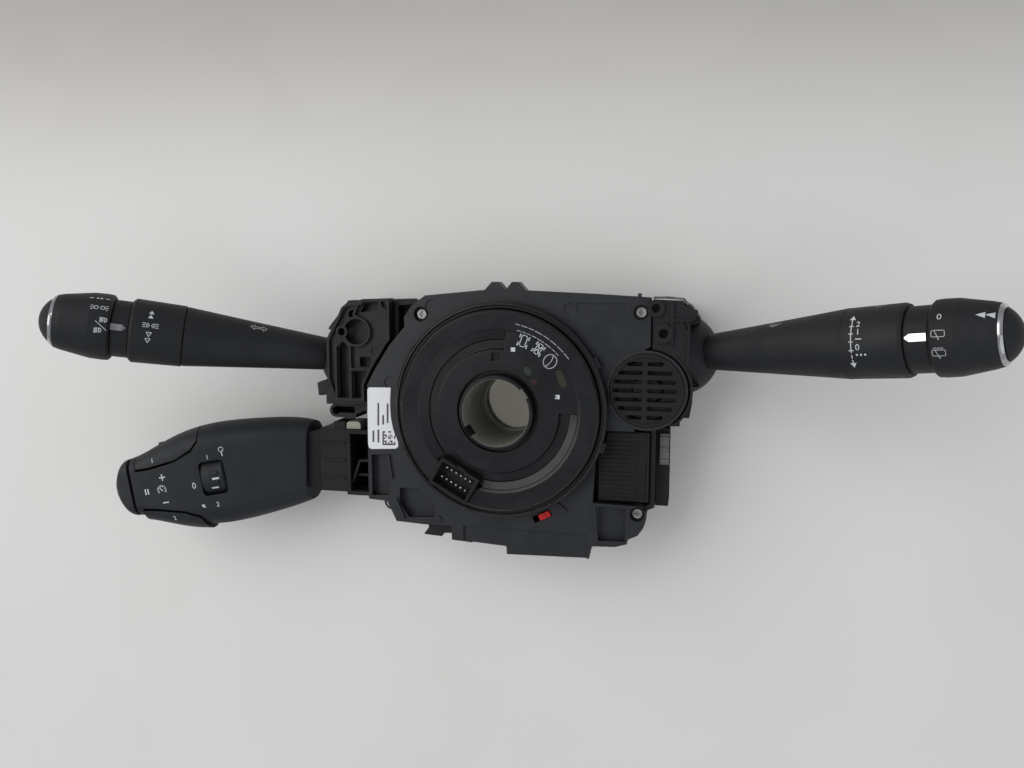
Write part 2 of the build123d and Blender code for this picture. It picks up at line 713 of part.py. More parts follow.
def make_carrier(stalk):
    """Frame that sweeps about the column direction and holds the stalk's cross trunnions."""
    inner_half_width = frame_half_width - frame_wall
    inner_half_height = frame_half_height - frame_wall
    with BuildPart() as carrier:
        with Locations(stalk.level_plane(0)):
            Box(2 * frame_reach, 2 * frame_half_width, 2 * frame_half_height)
            with Locations((-frame_reach - 3.0, 0, 0)):
                Box(7.0, 9.0, 9.0)
            with Locations((frame_reach, 0, frame_half_height / 2)):
                Box(9.0, 2 * frame_half_width, frame_half_height, mode=Mode.SUBTRACT)
            Cylinder(trunnion_radius, 2 * (arm_level + arm_thickness - 0.2))
            with Locations((0.6, 0, 0)):
                Box(
                    2 * frame_reach, 2 * inner_half_width, 2 * inner_half_height,
                    mode=Mode.SUBTRACT,
                )
            bore_depth = 6.2
            with Locations(Location((-frame_reach - 6.5 + bore_depth / 2, 0, 0), (0, 90, 0))):
                Cylinder(plunger_radius + fitted_clearance, bore_depth, mode=Mode.SUBTRACT)
            with Locations(Location((0, 0, 0), (90, 0, 0))):
                Cylinder(
                    lever_pin_radius + running_clearance, 2 * frame_half_width + 1,
                    mode=Mode.SUBTRACT,
                )
    save(carrier, f"{stalk.name}_carrier")


def make_plunger(stalk):
    """Spring-loaded detent pin that rides on the cam track."""
    rear, nose = -frame_reach - 0.6, -track_radius + 0.3
    with BuildPart() as plunger:
        with BuildSketch(Plane(origin=stalk.pivot, x_dir=stalk.outward, z_dir=stalk.across)):
            with BuildLine():
                Polyline(
                    (rear, 0), (rear, 1.0), (rear - 3.2, 1.0), (rear - 3.2, plunger_radius),
                    (nose + 1.6, plunger_radius), (nose + 0.4, 1.4), (nose, 0), close=True,
                )
            make_face()
        revolve(axis=Axis(stalk.pivot, stalk.outward))
    save(plunger, f"{stalk.name}_detent_plunger")


def make_track(stalk):
    """Cam insert with the detent notches that hold the stalk's positions."""
    spread = stalk.sweep + 8.0
    with BuildPart() as track:
        with BuildSketch(stalk.level_plane(-pivot_level + module_floor + module_wall)):
            with BuildLine():
                outer = CenterArc((0, 0), track_radius + track_thickness, 180 - spread, 2 * spread)
                inner = CenterArc((0, 0), track_radius, 180 - spread, 2 * spread)
                Line(outer @ 0, inner @ 0)
                Line(outer @ 1, inner @ 1)
            make_face()
            for angle in (-stalk.sweep, 0, stalk.sweep):
                turn = radians(180 + angle)
                with Locations((track_radius * cos(turn), track_radius * sin(turn))):
                    Circle(0.8, mode=Mode.SUBTRACT)
        extrude(amount=pivot_level - module_floor - module_wall + 5.0)
    save(track, f"{stalk.name}_detent_track")


def make_core(stalk):
    """Lever core: cross trunnions at the pivot, tube through the stalk, journals and neck."""
    journal = stalk.ring_radius - 2.8
    spigot = stalk.body_radius - 2.4
    knob_bore_end = stalk.knob_end + 0.4
    profile = [
        (10.0, 0), (10.0, core_radius), (stalk.body_end - 3.0, core_radius),
        (stalk.body_end - 3.0, spigot), (stalk.body_end + 0.3, spigot),
    ]
    if stalk.ring_end > stalk.body_end:
        profile += [(stalk.body_end + 0.3, journal), (stalk.ring_end + 0.3, journal)]
    profile += [
        (stalk.ring_end + 0.3, stalk.neck_radius), (stalk.knob_start - 0.3, stalk.neck_radius),
        (stalk.knob_start - 0.3, knob_journal), (knob_bore_end - 4.0, knob_journal),
        (knob_bore_end - 4.0, 0),
    ]
    with BuildPart() as core:
        add(stalk.turned(profile))
        add(
            stalk.turned([
                (stalk.body_end + 1.5, 0), (stalk.body_end + 1.5, core_radius + 1.0),
                (stalk.ring_end, 8.0), (knob_bore_end, 8.0), (knob_bore_end, 0),
            ]),
            mode=Mode.SUBTRACT,
        )
        with Locations(Plane(origin=stalk.pivot, x_dir=stalk.direction, z_dir=stalk.across)):
            with Locations((3.0, 0, 0)):
                Box(16.0, tang_thickness, tang_width)
            Cylinder(lever_pin_radius, 2 * frame_half_width - 0.4)
        add(pointer_form(stalk, fitted_clearance), mode=Mode.SUBTRACT)
    save(core, f"{stalk.name}_core")


def pointer_form(stalk, grow):
    """Boat-shaped insert on the neck, on the side that faces the driver."""
    station = (stalk.ring_end + stalk.knob_start) / 2
    length = stalk.knob_start - stalk.ring_end - 1.4 + 2 * grow
    width = 3.0 + 2 * grow
    turn = -stalk.pointer_turn * stalk.hand
    plane = stalk.section_plane(station).rotated((0, 0, turn))
    seat = Plane(
        origin=plane.origin + plane.y_dir * (stalk.neck_radius - 1.2 - grow),
        x_dir=stalk.direction,
        z_dir=plane.y_dir,
    )
    with BuildPart() as body:
        with BuildSketch(seat):
            with BuildLine():
                half, side = length / 2, width / 2
                Polyline(
                    (half, side), (-half + 1.6, side), (-half, 0.3), (-half, -0.3),
                    (-half + 1.6, -side), (half, -side), close=True,
                )
            make_face()
        extrude(amount=1.8 + grow)
    return body.part


def make_pointer(stalk):
    with BuildPart() as pointer:
        add(pointer_form(stalk, 0.0))
    save(pointer, f"{stalk.name}_pointer")


def make_body(stalk):
    """Tapering outer shell of the stalk."""
    root = sqrt(ball_radius**2 - stalk_root_radius**2) - 2.0
    collar_start = stalk.body_end - 23.4 if stalk.hand > 0 else stalk.body_end
    middle = (root + collar_start) / 2
    waist = (stalk_root_radius + stalk.body_radius) / 2 - 0.3
    sections = (
        (root, 2 * stalk_root_radius, 2 * stalk_root_radius - 1.0, stalk_root_radius - 0.8),
        (middle, 2 * waist, 2 * waist - 0.4, waist - 1.0),
        (collar_start, 2 * stalk.body_radius - 0.7, 2 * stalk.body_radius - 0.7,
         stalk.body_radius - 0.5),
    )
    with BuildPart() as shell:
        for station, width, height, corner in sections:
            with BuildSketch(stalk.section_plane(station)):
                RectangleRounded(width, height, corner)
        loft()
        if stalk.hand > 0:
            add(
                stalk.turned([
                    (collar_start - 0.01, 0), (collar_start - 0.01, stalk.body_radius - 0.4),
                    (stalk.body_end - 1.5, stalk.body_radius), (stalk.body_end, stalk.body_radius - 0.6),
                    (stalk.body_end, 0),
                ])
            )
        add(
            stalk.turned([
                (root - 1, 0), (root - 1, core_radius + fitted_clearance),
                (root + 12, core_radius + fitted_clearance),
                (stalk.body_end - 6.0, stalk.body_radius - 2.3),
                (stalk.body_end + 1, stalk.body_radius - 2.3), (stalk.body_end + 1, 0),
            ]),
            mode=Mode.SUBTRACT,
        )
        add(stalk.ball_zone(0, ball_radius + fitted_clearance, 0, 90), mode=Mode.SUBTRACT)
    save(shell, f"{stalk.name}_stalk_body")


def make_knob(stalk):
    """Rotary knob, its bright ring and the push button in its end."""
    bore = knob_journal + running_clearance
    seat = stalk.nose_radius - 1.5
    end = stalk.knob_end
    with BuildPart() as knob:
        add(
            stalk.turned([
                (stalk.knob_start, bore), (stalk.knob_start, stalk.knob_radius - 1.2),
                (stalk.knob_start + 1.0, stalk.knob_radius - 0.2),
                (stalk.knob_start + 3.5, stalk.knob_radius),
                (stalk.knob_start + 9.0, stalk.knob_radius - 0.2),
                (end - 4.0, stalk.nose_radius + 1.2), (end - 1.0, stalk.nose_radius + 0.35),
                (end - 1.0, seat), (end - 3.2, seat), (end - 3.2, bore),
            ])
        )
    save(knob, f"{stalk.name}_knob")
    with BuildPart() as ring:
        add(
            stalk.turned([
                (end - 0.9, seat + 0.05), (end - 0.9, stalk.nose_radius + 0.1),
                (end - 0.2, stalk.nose_radius), (end + 0.7, stalk.nose_radius - 0.8),
                (end + 0.7, seat + 0.05),
            ])
        )
    save(ring, f"{stalk.name}_knob_ring")
    button_radius = seat - 0.3
    stem_start = end - 2.9 + button_travel
    dome_start = end + button_travel - 0.2
    dome_rise = stalk.tip - dome_start
    dome_radius = (button_radius**2 + dome_rise**2) / (2 * dome_rise)
    half_turn = asin(button_radius / dome_radius) / 2
    dome_middle = (stalk.tip - dome_radius * (1 - cos(half_turn)), dome_radius * sin(half_turn))
    with BuildPart() as button:
        with BuildSketch(stalk.profile_plane):
            with BuildLine():
                Polyline(
                    (stalk.tip, 0), (stem_start - 6.0, 0), (stem_start - 6.0, 3.0),
                    (stem_start, 3.0), (stem_start, button_radius), (dome_start, button_radius),
                )
                ThreePointArc((dome_start, button_radius), dome_middle, (stalk.tip, 0))
            make_face()
        revolve(axis=stalk.axis)
    save(button, f"{stalk.name}_end_button")


for stalk in (left_stalk, right_stalk):
    make_ball_cap(stalk)
    make_carrier(stalk)
    make_plunger(stalk)
    make_track(stalk)
    make_core(stalk)
    make_pointer(stalk)
    make_body(stalk)
    make_knob(stalk)

with BuildPart() as left_fog_ring:
    ring_journal = left_stalk.ring_radius - 2.8 + running_clearance
    add(
        left_stalk.turned([
            (left_stalk.body_end + 0.5, ring_journal),
            (left_stalk.body_end + 0.5, left_stalk.body_radius - 0.2),
            (left_stalk.body_end + 1.0, left_stalk.body_radius),
            (left_stalk.ring_end - 1.2, left_stalk.ring_radius + 0.2),
            (left_stalk.ring_end, left_stalk.ring_radius - 0.8),
            (left_stalk.ring_end, ring_journal),
        ])
    )
save(left_fog_ring, "left_fog_ring")

# ====================================== switch modules ============================================
end_wall_outer = 10.2         # outward from the pivot
end_wall = 2.0
notch_level, notch_width = 9.0, 28.0  # room for the stalk's root above the ball's opening
slab_bottom = module_top
slab_front = module_front - 1.8
module_cut = 10.0             # cutting depth that clears a module's front


def module_shell(stalk, outline):
    """Box round one stalk's mechanism, with the ball's opening and the carrier's bearing arms."""
    cavity_top = module_top - module_wall
    floor_top = module_floor + module_wall
    end_x = stalk.hand * (pivot_spacing / 2 + end_wall_outer)
    far = 2 * abs(end_x)
    with BuildPart() as shell:
        extrude(planform(outline, module_floor), amount=module_top - module_floor)
        extrude(
            planform(outline, floor_top, end_wall), amount=cavity_top - floor_top,
            mode=Mode.SUBTRACT,
        )
        with Locations((end_x + stalk.hand * far / 2, stalk.pivot.Y, 0)):
            Box(far, far, far, mode=Mode.SUBTRACT)
        with Locations(stalk.pivot):
            Sphere(ball_radius + socket_clearance, mode=Mode.SUBTRACT)
        with Locations(stalk.level_plane(0)):
            with Locations((end_wall_outer, 0, notch_level)):
                Box(12.0, notch_width, 20.0, align=UPWARD, mode=Mode.SUBTRACT)
            with Locations((-8.0, 0, arm_level)):
                Box(24.0, 2 * arm_half_width, arm_thickness, align=UPWARD)
            with Locations((-15.0, 0, arm_level)):
                Box(9.0, 2 * arm_half_width, cavity_top - pivot_level - arm_level + 0.2, align=UPWARD)
            with Locations((-6.6, 0, floor_top - pivot_level - 0.2)):
                lower_height = pivot_level - arm_level - floor_top + 0.2
                Box(21.2, 2 * arm_half_width, lower_height, align=UPWARD)
            Cylinder(
                trunnion_radius + running_clearance, 2 * (arm_level + arm_thickness),
                mode=Mode.SUBTRACT,
            )
    return shell.part


def stand(outline, bottom, top, mode=Mode.ADD):
    """Upright block on an outline."""
    extrude(planform(outline, bottom), amount=top - bottom, mode=mode)


def straight_rib(start, end, thickness, bottom, top):
    """Upright rib between two points."""
    length = sqrt((end[0] - start[0]) ** 2 + (end[1] - start[1]) ** 2)
    turn = degrees(atan2(end[1] - start[1], end[0] - start[0]))
    middle = ((start[0] + end[0]) / 2, (start[1] + end[1]) / 2, bottom)
    with Locations(Location(middle, (0, 0, turn))):
        Box(length, thickness, top - bottom, align=UPWARD)


left_outline = [
    (-90.2, -1.0), (-90.2, 30.0), (-88.0, 37.0), (-83.0, 43.0), (-77.5, 50.2), (-54.5, 50.6),
    (-54.5, 7.6), (-66.6, 7.6), (-66.6, -1.0),
]
left_slab = [
    (-86.6, 31.6), (-80.4, 43.0), (-78.6, 46.8), (-75.9, 49.0), (-69.2, 49.5), (-68.2, 50.9),
    (-54.4, 51.4), (-54.4, 31.6), (-56.1, 29.8), (-63.9, 17.6), (-67.7, 9.9), (-67.7, 1.6),
    (-83.0, 1.6), (-86.6, 12.0),
]
tube_x, tube_y, tube_radius = -71.3, 35.3, 7.3
boss_x, boss_y, boss_radius = -78.7, 35.2, 3.0
left_form = module_shell(left_stalk, left_outline)
with BuildPart() as left_switch_housing:
    add(left_form)
    stand(left_slab, slab_bottom, slab_front)
    stand(left_slab, slab_front - 1.0, module_front)
    stand(inset_points(left_slab, 1.4), slab_front, module_front, Mode.SUBTRACT)
    # sunk pockets
    pocket_floor = slab_bottom + 0.9
    for pocket in (
        [(-81.0, 3.2), (-81.0, 27.4), (-78.3, 30.2), (-75.6, 27.4), (-75.6, 3.2)],
        [(-73.4, 3.2), (-73.4, 16.0), (-66.8, 16.0), (-69.2, 9.0), (-69.2, 3.2)],
        [(-70.2, 18.4), (-70.2, 23.0), (-64.6, 23.0), (-64.6, 18.4)],
        [(-69.6, 44.6), (-67.0, 49.0), (-61.0, 49.4), (-61.0, 45.6)],
    ):
        stand(pocket, pocket_floor, module_front, Mode.SUBTRACT)
    with Locations((tube_x, tube_y, pocket_floor)):
        Cylinder(tube_radius - rib, module_cut, align=UPWARD, mode=Mode.SUBTRACT)
    with Locations((-73.6, 43.6, pocket_floor)):
        Cylinder(2.0, module_cut, align=UPWARD, mode=Mode.SUBTRACT)
    with Locations((-62.6, 26.0, slab_front - 0.5)):
        Cylinder(1.9, module_cut, align=UPWARD, mode=Mode.SUBTRACT)
    # ribs and tubes
    for start, end in (
        ((-82.0, 1.8), (-82.0, 28.4)), ((-82.0, 28.0), (-78.3, 31.6)), ((-78.3, 31.6), (-74.6, 28.2)),
        ((-74.6, 28.6), (-74.6, 1.8)), ((-74.6, 17.2), (-64.8, 17.2)), ((-56.6, 46.6), (-56.2, 31.0)),
        ((-59.6, 50.6), (-58.0, 46.0)), ((-58.0, 46.4), (-56.6, 46.4)), ((-69.6, 50.0), (-72.6, 43.0)),
        ((-72.6, 43.4), (-66.4, 40.2)),
    ):
        straight_rib(start, end, rib, slab_front - 0.5, module_front)
    with BuildSketch(Plane.XY.offset(slab_front - 0.5)):
        with Locations((tube_x, tube_y)):
            Circle(tube_radius)
            Circle(tube_radius - rib, mode=Mode.SUBTRACT)
        with Locations((boss_x, boss_y)):
            Circle(boss_radius)
            Circle(boss_radius - rib, mode=Mode.SUBTRACT)
    extrude(amount=module_front - slab_front + 0.5)
    with Locations((boss_x, boss_y, slab_bottom + 1.0)):
        Cylinder(boss_radius - rib, module_cut, align=UPWARD, mode=Mode.SUBTRACT)
    # catch on the end wall and the rounded arm below
    stand([(-89.6, 9.2), (-94.6, 9.9), (-97.8, 8.6), (-97.2, 2.2), (-94.6, 2.3), (-92.4, 4.9),
           (-89.6, 4.0)], 24.0, 33.0)
    with Locations(left_stalk.pivot):
        Sphere(ball_radius + socket_clearance, mode=Mode.SUBTRACT)
    stand([(-86.7, -1.3), (-76.0, -1.3), (-76.0, -8.1), (-86.7, -8.1)], 22.0, 36.0)
    stand([(-78.0, 0.4), (-68.0, 0.4), (-68.0, -3.0), (-75.0, -6.0), (-78.0, -6.0)], 22.0, 36.0)
    with Locations((-86.7, -4.7, 22.0)):
        Cylinder(3.4, 14.0, align=UPWARD)
    with BuildSketch(Plane.XY.offset(23.5)):
        with Locations((-86.7, -4.7)):
            Circle(2.0)
        with Locations((-81.6, -4.2)):
            Rectangle(9.6, 3.2)
    extrude(amount=13.0, mode=Mode.SUBTRACT)
    # room for the corner of the central housing
    with Locations((-46.0, 40.0, module_floor)):
        Box(16.4, 24.0, housing_top + 0.3 - module_floor, align=UPWARD, mode=Mode.SUBTRACT)
save(left_switch_housing, "left_switch_housing")

right_outline = [
    (90.2, 12.0), (90.2, 43.0), (86.0, 48.6), (82.0, 50.4), (54.5, 50.0), (54.5, 7.6), (58.0, 3.4),
    (73.0, 3.4), (73.0, -6.2), (82.0, -6.2), (82.4, -2.2), (86.2, -2.2), (87.4, 5.0), (87.4, 12.0),
]
right_slab = [
    (69.3, 51.5), (82.2, 50.9), (83.6, 48.6), (86.6, 48.6), (86.6, 47.2), (88.8, 46.9),
    (88.8, 44.4), (85.8, 41.0), (85.8, 20.0), (69.3, 20.0),
]
fence_radius = speaker_cup_radius + moving_clearance + 1.6
fence_half_angle = 52.0
right_form = module_shell(right_stalk, right_outline)
with BuildPart() as right_switch_housing:
    add(right_form)
    stand(right_slab, slab_bottom, slab_front)
    with Locations((*module_screw, module_floor + 1.0)):
        Cylinder(boss_outer - 0.2, module_top - module_floor - 1.0, align=UPWARD)
        Cylinder(screw_radius, module_top, align=UPWARD, mode=Mode.SUBTRACT)
    with Locations((speaker_x, speaker_y, slab_bottom)):
        Cylinder(speaker_cup_radius + moving_clearance, plate_cut, align=UPWARD, mode=Mode.SUBTRACT)
    with BuildSketch(Plane.XY.offset(slab_bottom - 0.5)):
        with BuildLine():
            around = (speaker_x, speaker_y)
            outside = CenterArc(around, fence_radius, -fence_half_angle, 2 * fence_half_angle)
            inside = CenterArc(around, fence_radius - rib, -fence_half_angle, 2 * fence_half_angle)
            Line(outside @ 0, inside @ 0)
            Line(outside @ 1, inside @ 1)
        make_face()
    extrude(amount=module_front - 1.2 - slab_bottom + 0.5)
    with Locations(right_stalk.pivot):
        Sphere(ball_radius + socket_clearance, mode=Mode.SUBTRACT)
    for x, y, outer, hole in ((*module_boss, module_boss_radius, 1.9), (74.2, 36.4, 4.4, 2.1)):
        with Locations((x, y, slab_front - 0.5)):
            Cylinder(outer, module_front - slab_front + 0.5, align=UPWARD)
        with Locations((x, y, slab_bottom + 1.0)):
            Cylinder(hole, module_cut, align=UPWARD, mode=Mode.SUBTRACT)
    for start, end in (
        ((77.8, 50.6), (77.8, 31.0)), ((77.8, 42.4), (86.0, 42.4)), ((81.6, 41.6), (85.4, 34.6)),
        ((85.2, 41.0), (85.2, 22.6)),
    ):
        straight_rib(start, end, rib, slab_front - 0.5, module_front - 0.4)
save(right_switch_housing, "right_switch_housing")

# ====================================== cruise lever ==============================================
class Paddle:
    """Frame of the cruise paddle: U runs out to its end, V across it and W towards the driver."""

    origin = Vector(-103.5, -31.3, 24.0)
    level = cos(radians(paddle_rise))
    u = Vector(
        -cos(radians(paddle_turn)) * level, -sin(radians(paddle_turn)) * level,
        sin(radians(paddle_rise)),
    )
    v = Vector(-sin(radians(paddle_turn)), cos(radians(paddle_turn)), 0)
    w = v.cross(u)

    @classmethod
    def face_plane(cls, height=0.0):
        """x along U and y across it: y is -V, so that z points towards the driver."""
        return Plane(origin=cls.origin + cls.w * height, x_dir=cls.u, z_dir=cls.w)

    @classmethod
    def cross_plane(cls, station):
        return Plane(origin=cls.origin + cls.u * station, x_dir=cls.v, z_dir=cls.u)


paddle_root = -104.0          # upright plane that the casing's inner end lies in
# station along the paddle as a share of its length, then width and thickness as shares
paddle_sections = (
    (-0.05, 0.68, 0.84), (0.22, 0.92, 0.98), (0.50, 1.0, 1.0), (0.70, 0.92, 0.92), (0.87, 0.72, 0.76),
    (1.0, 0.58, 0.62),
)


def paddle_form(inset):
    """Outer form of the paddle drawn in by inset."""
    start = paddle_sections[0][0] * paddle_length + inset
    with BuildPart() as form:
        for share, wide, thick in paddle_sections:
            station = min(max(share * paddle_length, start), paddle_length - inset)
            width = wide * paddle_width - 2 * inset
            depth = thick * paddle_thickness - 2 * inset
            with BuildSketch(Paddle.cross_plane(station)):
                RectangleRounded(width, depth, 0.46 * depth)
        loft()
        with Locations((paddle_root - inset, Paddle.origin.Y, Paddle.origin.Z)):
            Box(30, 90, 60, align=(Align.MIN, Align.CENTER, Align.CENTER), mode=Mode.SUBTRACT)
    return form.part


def paddle_region(points, bottom, top, grow=0.0):
    """Block between two heights over an outline of (U, V) points."""
    flipped = [(u, -v) for u, v in points]
    with BuildPart() as block:
        with BuildSketch(Paddle.face_plane(bottom)):
            with BuildLine():
                Polyline(*inset_points(flipped, -grow), close=True)
            make_face()
        extrude(amount=top - bottom)
    return block.part


edge_floor, edge_ceiling = -4.0, 20.0
edge_gap = 0.4
upper_edge = [
    (85.0, 9.6), (70.0, 11.6), (60.5, 15.4), (56.4, 19.6), (55.6, 32.0), (92.5, 32.0), (92.5, 9.6),
]
lower_edge = [(92.5, -12.4), (84.0, -13.6), (70.0, -16.6), (62.0, -20.4), (58.6, -32.0), (92.5, -32.0)]
wheel_u, wheel_v, wheel_w = 51.2, -0.6, 2.8
wheel_pin_radius = 2.0
wheel_side_gap = 0.5
wheel_post = 2.4
paddle_board_w = -5.7
outer_form = paddle_form(0.0)
inner_form = paddle_form(paddle_wall)
window_length, window_width = wheel_width + 1.2, 17.5
spigot_width, spigot_depth = 24.0, 13.0
stem_width, stem_depth = 14.0, 7.0


def half_shell(keep_front):
    """Front or rear half of the paddle's hollow casing, with its cut-outs."""
    with BuildPart() as shell:
        add(outer_form)
        add(inner_form, mode=Mode.SUBTRACT)
        split(bisect_by=Paddle.face_plane(0.0), keep=Keep.TOP if keep_front else Keep.BOTTOM)
        for edge, inward in ((upper_edge, -1), (lower_edge, 1)):
            for shift in (0.0, inward * edge_button_travel):
                moved = [(u, v + shift) for u, v in edge]
                well = paddle_region(moved, edge_floor - edge_gap, edge_ceiling, edge_gap)
                add(well, mode=Mode.SUBTRACT)
        with BuildSketch(Paddle.cross_plane(paddle_length + 1.0)):
            Rectangle(stem_width, stem_depth)
        extrude(amount=-3 * paddle_wall, mode=Mode.SUBTRACT)
        with BuildSketch(Paddle.cross_plane(-5.0)):
            Rectangle(spigot_width, spigot_depth)
        extrude(amount=12.0, mode=Mode.SUBTRACT)
        if keep_front:
            with BuildSketch(Paddle.face_plane(wheel_w)):
                with Locations((wheel_u, -wheel_v)):
                    RectangleRounded(window_length, window_width, 2.2)
            extrude(amount=20.0, mode=Mode.SUBTRACT)
    return shell.part


with BuildPart() as cruise_front_shell:
    add(half_shell(True))
save(cruise_front_shell, "cruise_front_shell")

with BuildPart() as cruise_rear_shell:
    add(half_shell(False))
    for side in (-1, 1):
        post_u = wheel_u + side * (wheel_width / 2 + wheel_side_gap + wheel_post / 2)
        with BuildSketch(Paddle.face_plane(-paddle_thickness / 2 + 0.6)):
            with Locations((post_u, -wheel_v)):
                Rectangle(wheel_post, 7.0)
        extrude(amount=paddle_thickness / 2 - 0.6 + wheel_w + 3.2)
    with BuildSketch(Paddle.cross_plane(wheel_u - wheel_width)):
        with Locations((wheel_v, -wheel_w)):
            Circle(wheel_pin_radius + running_clearance)
    extrude(amount=2 * wheel_width, mode=Mode.SUBTRACT)
    for ledge_u in (22.0, 68.0):
        with BuildSketch(Paddle.face_plane(-10.0)):
            with Locations((ledge_u, 0)):
                Rectangle(2.0, 22.0)
        extrude(amount=10.0 + paddle_board_w)
save(cruise_rear_shell, "cruise_rear_shell")

with BuildPart() as cruise_board:
    with BuildSketch(Paddle.face_plane(paddle_board_w + 0.05)):
        with Locations((47.0, 0)):
            Rectangle(66.0, 26.0)
        with Locations((wheel_u, -wheel_v)):
            Rectangle(wheel_width + 2 * (wheel_side_gap + wheel_post + 1.0), 20.0, mode=Mode.SUBTRACT)
    extrude(amount=1.2)
save(cruise_board, "cruise_board")

with BuildPart() as cruise_wheel:
    with BuildSketch(Paddle.cross_plane(wheel_u - wheel_width / 2)):
        with Locations((wheel_v, -wheel_w)):
            Circle(wheel_radius)
    extrude(amount=wheel_width)
    chamfer(cruise_wheel.edges().filter_by(GeomType.CIRCLE), 0.8)
    with BuildSketch(Paddle.cross_plane(wheel_u - wheel_width / 2 - wheel_side_gap - wheel_post)):
        with Locations((wheel_v, -wheel_w)):
            Circle(wheel_pin_radius)
    extrude(amount=wheel_width + 2 * (wheel_side_gap + wheel_post))
    with BuildSketch(Paddle.cross_plane(wheel_u - 3.2)):
        for turn in (-13.5, 13.5):
            with Locations(Location((wheel_v, -wheel_w), -90 + turn)):
                with Locations((wheel_radius - 0.2, 0)):
                    RectangleRounded(1.8, 1.9, 0.4)
    extrude(amount=4.6)
save(cruise_wheel, "cruise_wheel")


def edge_button(edge, side, swell):
    """Press pad let into one long edge of the paddle, with a stem behind it."""
    with BuildPart() as button:
        add(outer_form.moved(Location(Paddle.v * side * swell)) if swell else outer_form)
        add(inner_form, mode=Mode.SUBTRACT)
        add(paddle_region(edge, edge_floor, edge_ceiling), mode=Mode.INTERSECT)
        with BuildSketch(Paddle.face_plane(-1.5)):
            with Locations((76.0, -side * 17.6)):
                Rectangle(8.0, 7.0)
        extrude(amount=4.0)
    return button.part


with BuildPart() as cruise_upper_button:
    add(edge_button(upper_edge, 1, 0))
save(cruise_upper_button, "cruise_upper_button")

with BuildPart() as cruise_lower_button:
    add(edge_button(lower_edge, -1, 2.2))
save(cruise_lower_button, "cruise_lower_button")

end_gap = end_button_travel + 0.3
with BuildPart() as cruise_end_button:
    for station, width, depth in ((0, 30.0, 14.6), (3.2, 28.0, 13.4), (6.6, 20.0, 10.5), (9.6, 7.0, 4.4)):
        with BuildSketch(Paddle.cross_plane(paddle_length + end_gap + station)):
            RectangleRounded(width, depth, 0.44 * depth)
    loft()
    with BuildSketch(Paddle.cross_plane(paddle_length + end_gap + 0.5)):
        Rectangle(stem_width - 1.0, stem_depth - 1.0)
    extrude(amount=-end_gap - 8.0)
save(cruise_end_button, "cruise_end_button")

with BuildPart() as cruise_plug:
    with Locations((-88.2, -30.0, 16.0)):
        Box(14.6, 32.0, 20.0, align=UPWARD)
    with BuildSketch(Paddle.cross_plane(-9.5)):
        Rectangle(28.0, 16.0)
    extrude(amount=14.0)
    with Locations((paddle_root + fitted_clearance, Paddle.origin.Y, Paddle.origin.Z)):
        Box(30, 60, 40, align=(Align.MAX, Align.CENTER, Align.CENTER), mode=Mode.SUBTRACT)
    with BuildSketch(Paddle.cross_plane(-5.0)):
        Rectangle(spigot_width - 2 * fitted_clearance, spigot_depth - 2 * fitted_clearance)
    extrude(amount=10.0)
    with Locations((-81.0, -30.0, 18.2)):
        Box(20.0, 27.6, 15.6, align=UPWARD, mode=Mode.SUBTRACT)
    with Locations((-93.4, -44.0, 14.0)):
        Box(4.0, 4.0, 3.0, align=UPWARD)
    for rib_y in (-39.0, -30.0, -21.0):
        with Locations((-88.2, rib_y, 35.8)):
            Box(12.0, rib, 0.8, align=UPWARD)
save(cruise_plug, "cruise_plug")

with BuildPart() as cruise_bracket:
    with Locations((-73.5, -30.5, 14.0)):
        Box(14.6, 33.0, 24.0, align=UPWARD)
    with Locations((-73.5, -30.5, 18.0)):
        Box(10.6, 29.0, 24.0, align=UPWARD, mode=Mode.SUBTRACT)
    straight_rib((-78.6, -40.9), (-74.6, -29.5), rib, 17.8, 36.0)
    straight_rib((-79.0, -37.4), (-68.0, -37.4), rib, 17.8, 34.0)
    straight_rib((-74.6, -29.8), (-68.0, -29.8), rib, 17.8, 36.0)
save(cruise_bracket, "cruise_bracket")

with BuildPart() as cruise_latch:
    with Locations((-85.2, -12.2, 22.0)):
        Box(6.2, 3.4, 14.0, align=UPWARD)
    with Locations((-85.2, -12.0, 25.0)):
        Box(3.0, 5.0, 8.0, align=UPWARD, mode=Mode.SUBTRACT)
    chamfer(cruise_latch.edges().filter_by(Axis.Z).sort_by(Axis.Y)[-2:], 0.8)
save(cruise_latch, "cruise_latch")

with BuildPart() as bracket_clip:
    with Locations((-77.6, -12.0, 24.0)):
        Box(7.4, 3.6, 12.0, align=UPWARD)
    fillet(bracket_clip.edges().filter_by(Axis.Z).sort_by(Axis.Y)[-2:], 1.6)
save(bracket_clip, "bracket_clip")

# ====================================== side connector ============================================
connector_face, connector_mouth = 71.6, 77.6
side_pin_pitch, side_pin_count, side_pin_size = 3.8, 8, 0.7
with BuildPart() as side_connector:
    with Locations(((connector_face + connector_mouth) / 2, -26.5, 16.0)):
        Box(connector_mouth - connector_face, 37.0, 18.0, align=UPWARD)
    with Locations((connector_mouth, -26.5, 17.6)):
        Box(2 * (connector_mouth - connector_face - 1.5), 33.8, 14.8, align=UPWARD, mode=Mode.SUBTRACT)
save(side_connector, "side_connector")

with BuildPart() as side_connector_pins:
    with Locations((connector_face + 1.5, -26.5, 25.0)):
        with GridLocations(0, side_pin_pitch, 1, side_pin_count):
            with Locations((0, 0, -2.6), (0, 0, 2.6)):
                Box(3.4, side_pin_size, side_pin_size, align=(Align.MIN, Align.CENTER, Align.CENTER))
save(side_connector_pins, "side_connector_pins")

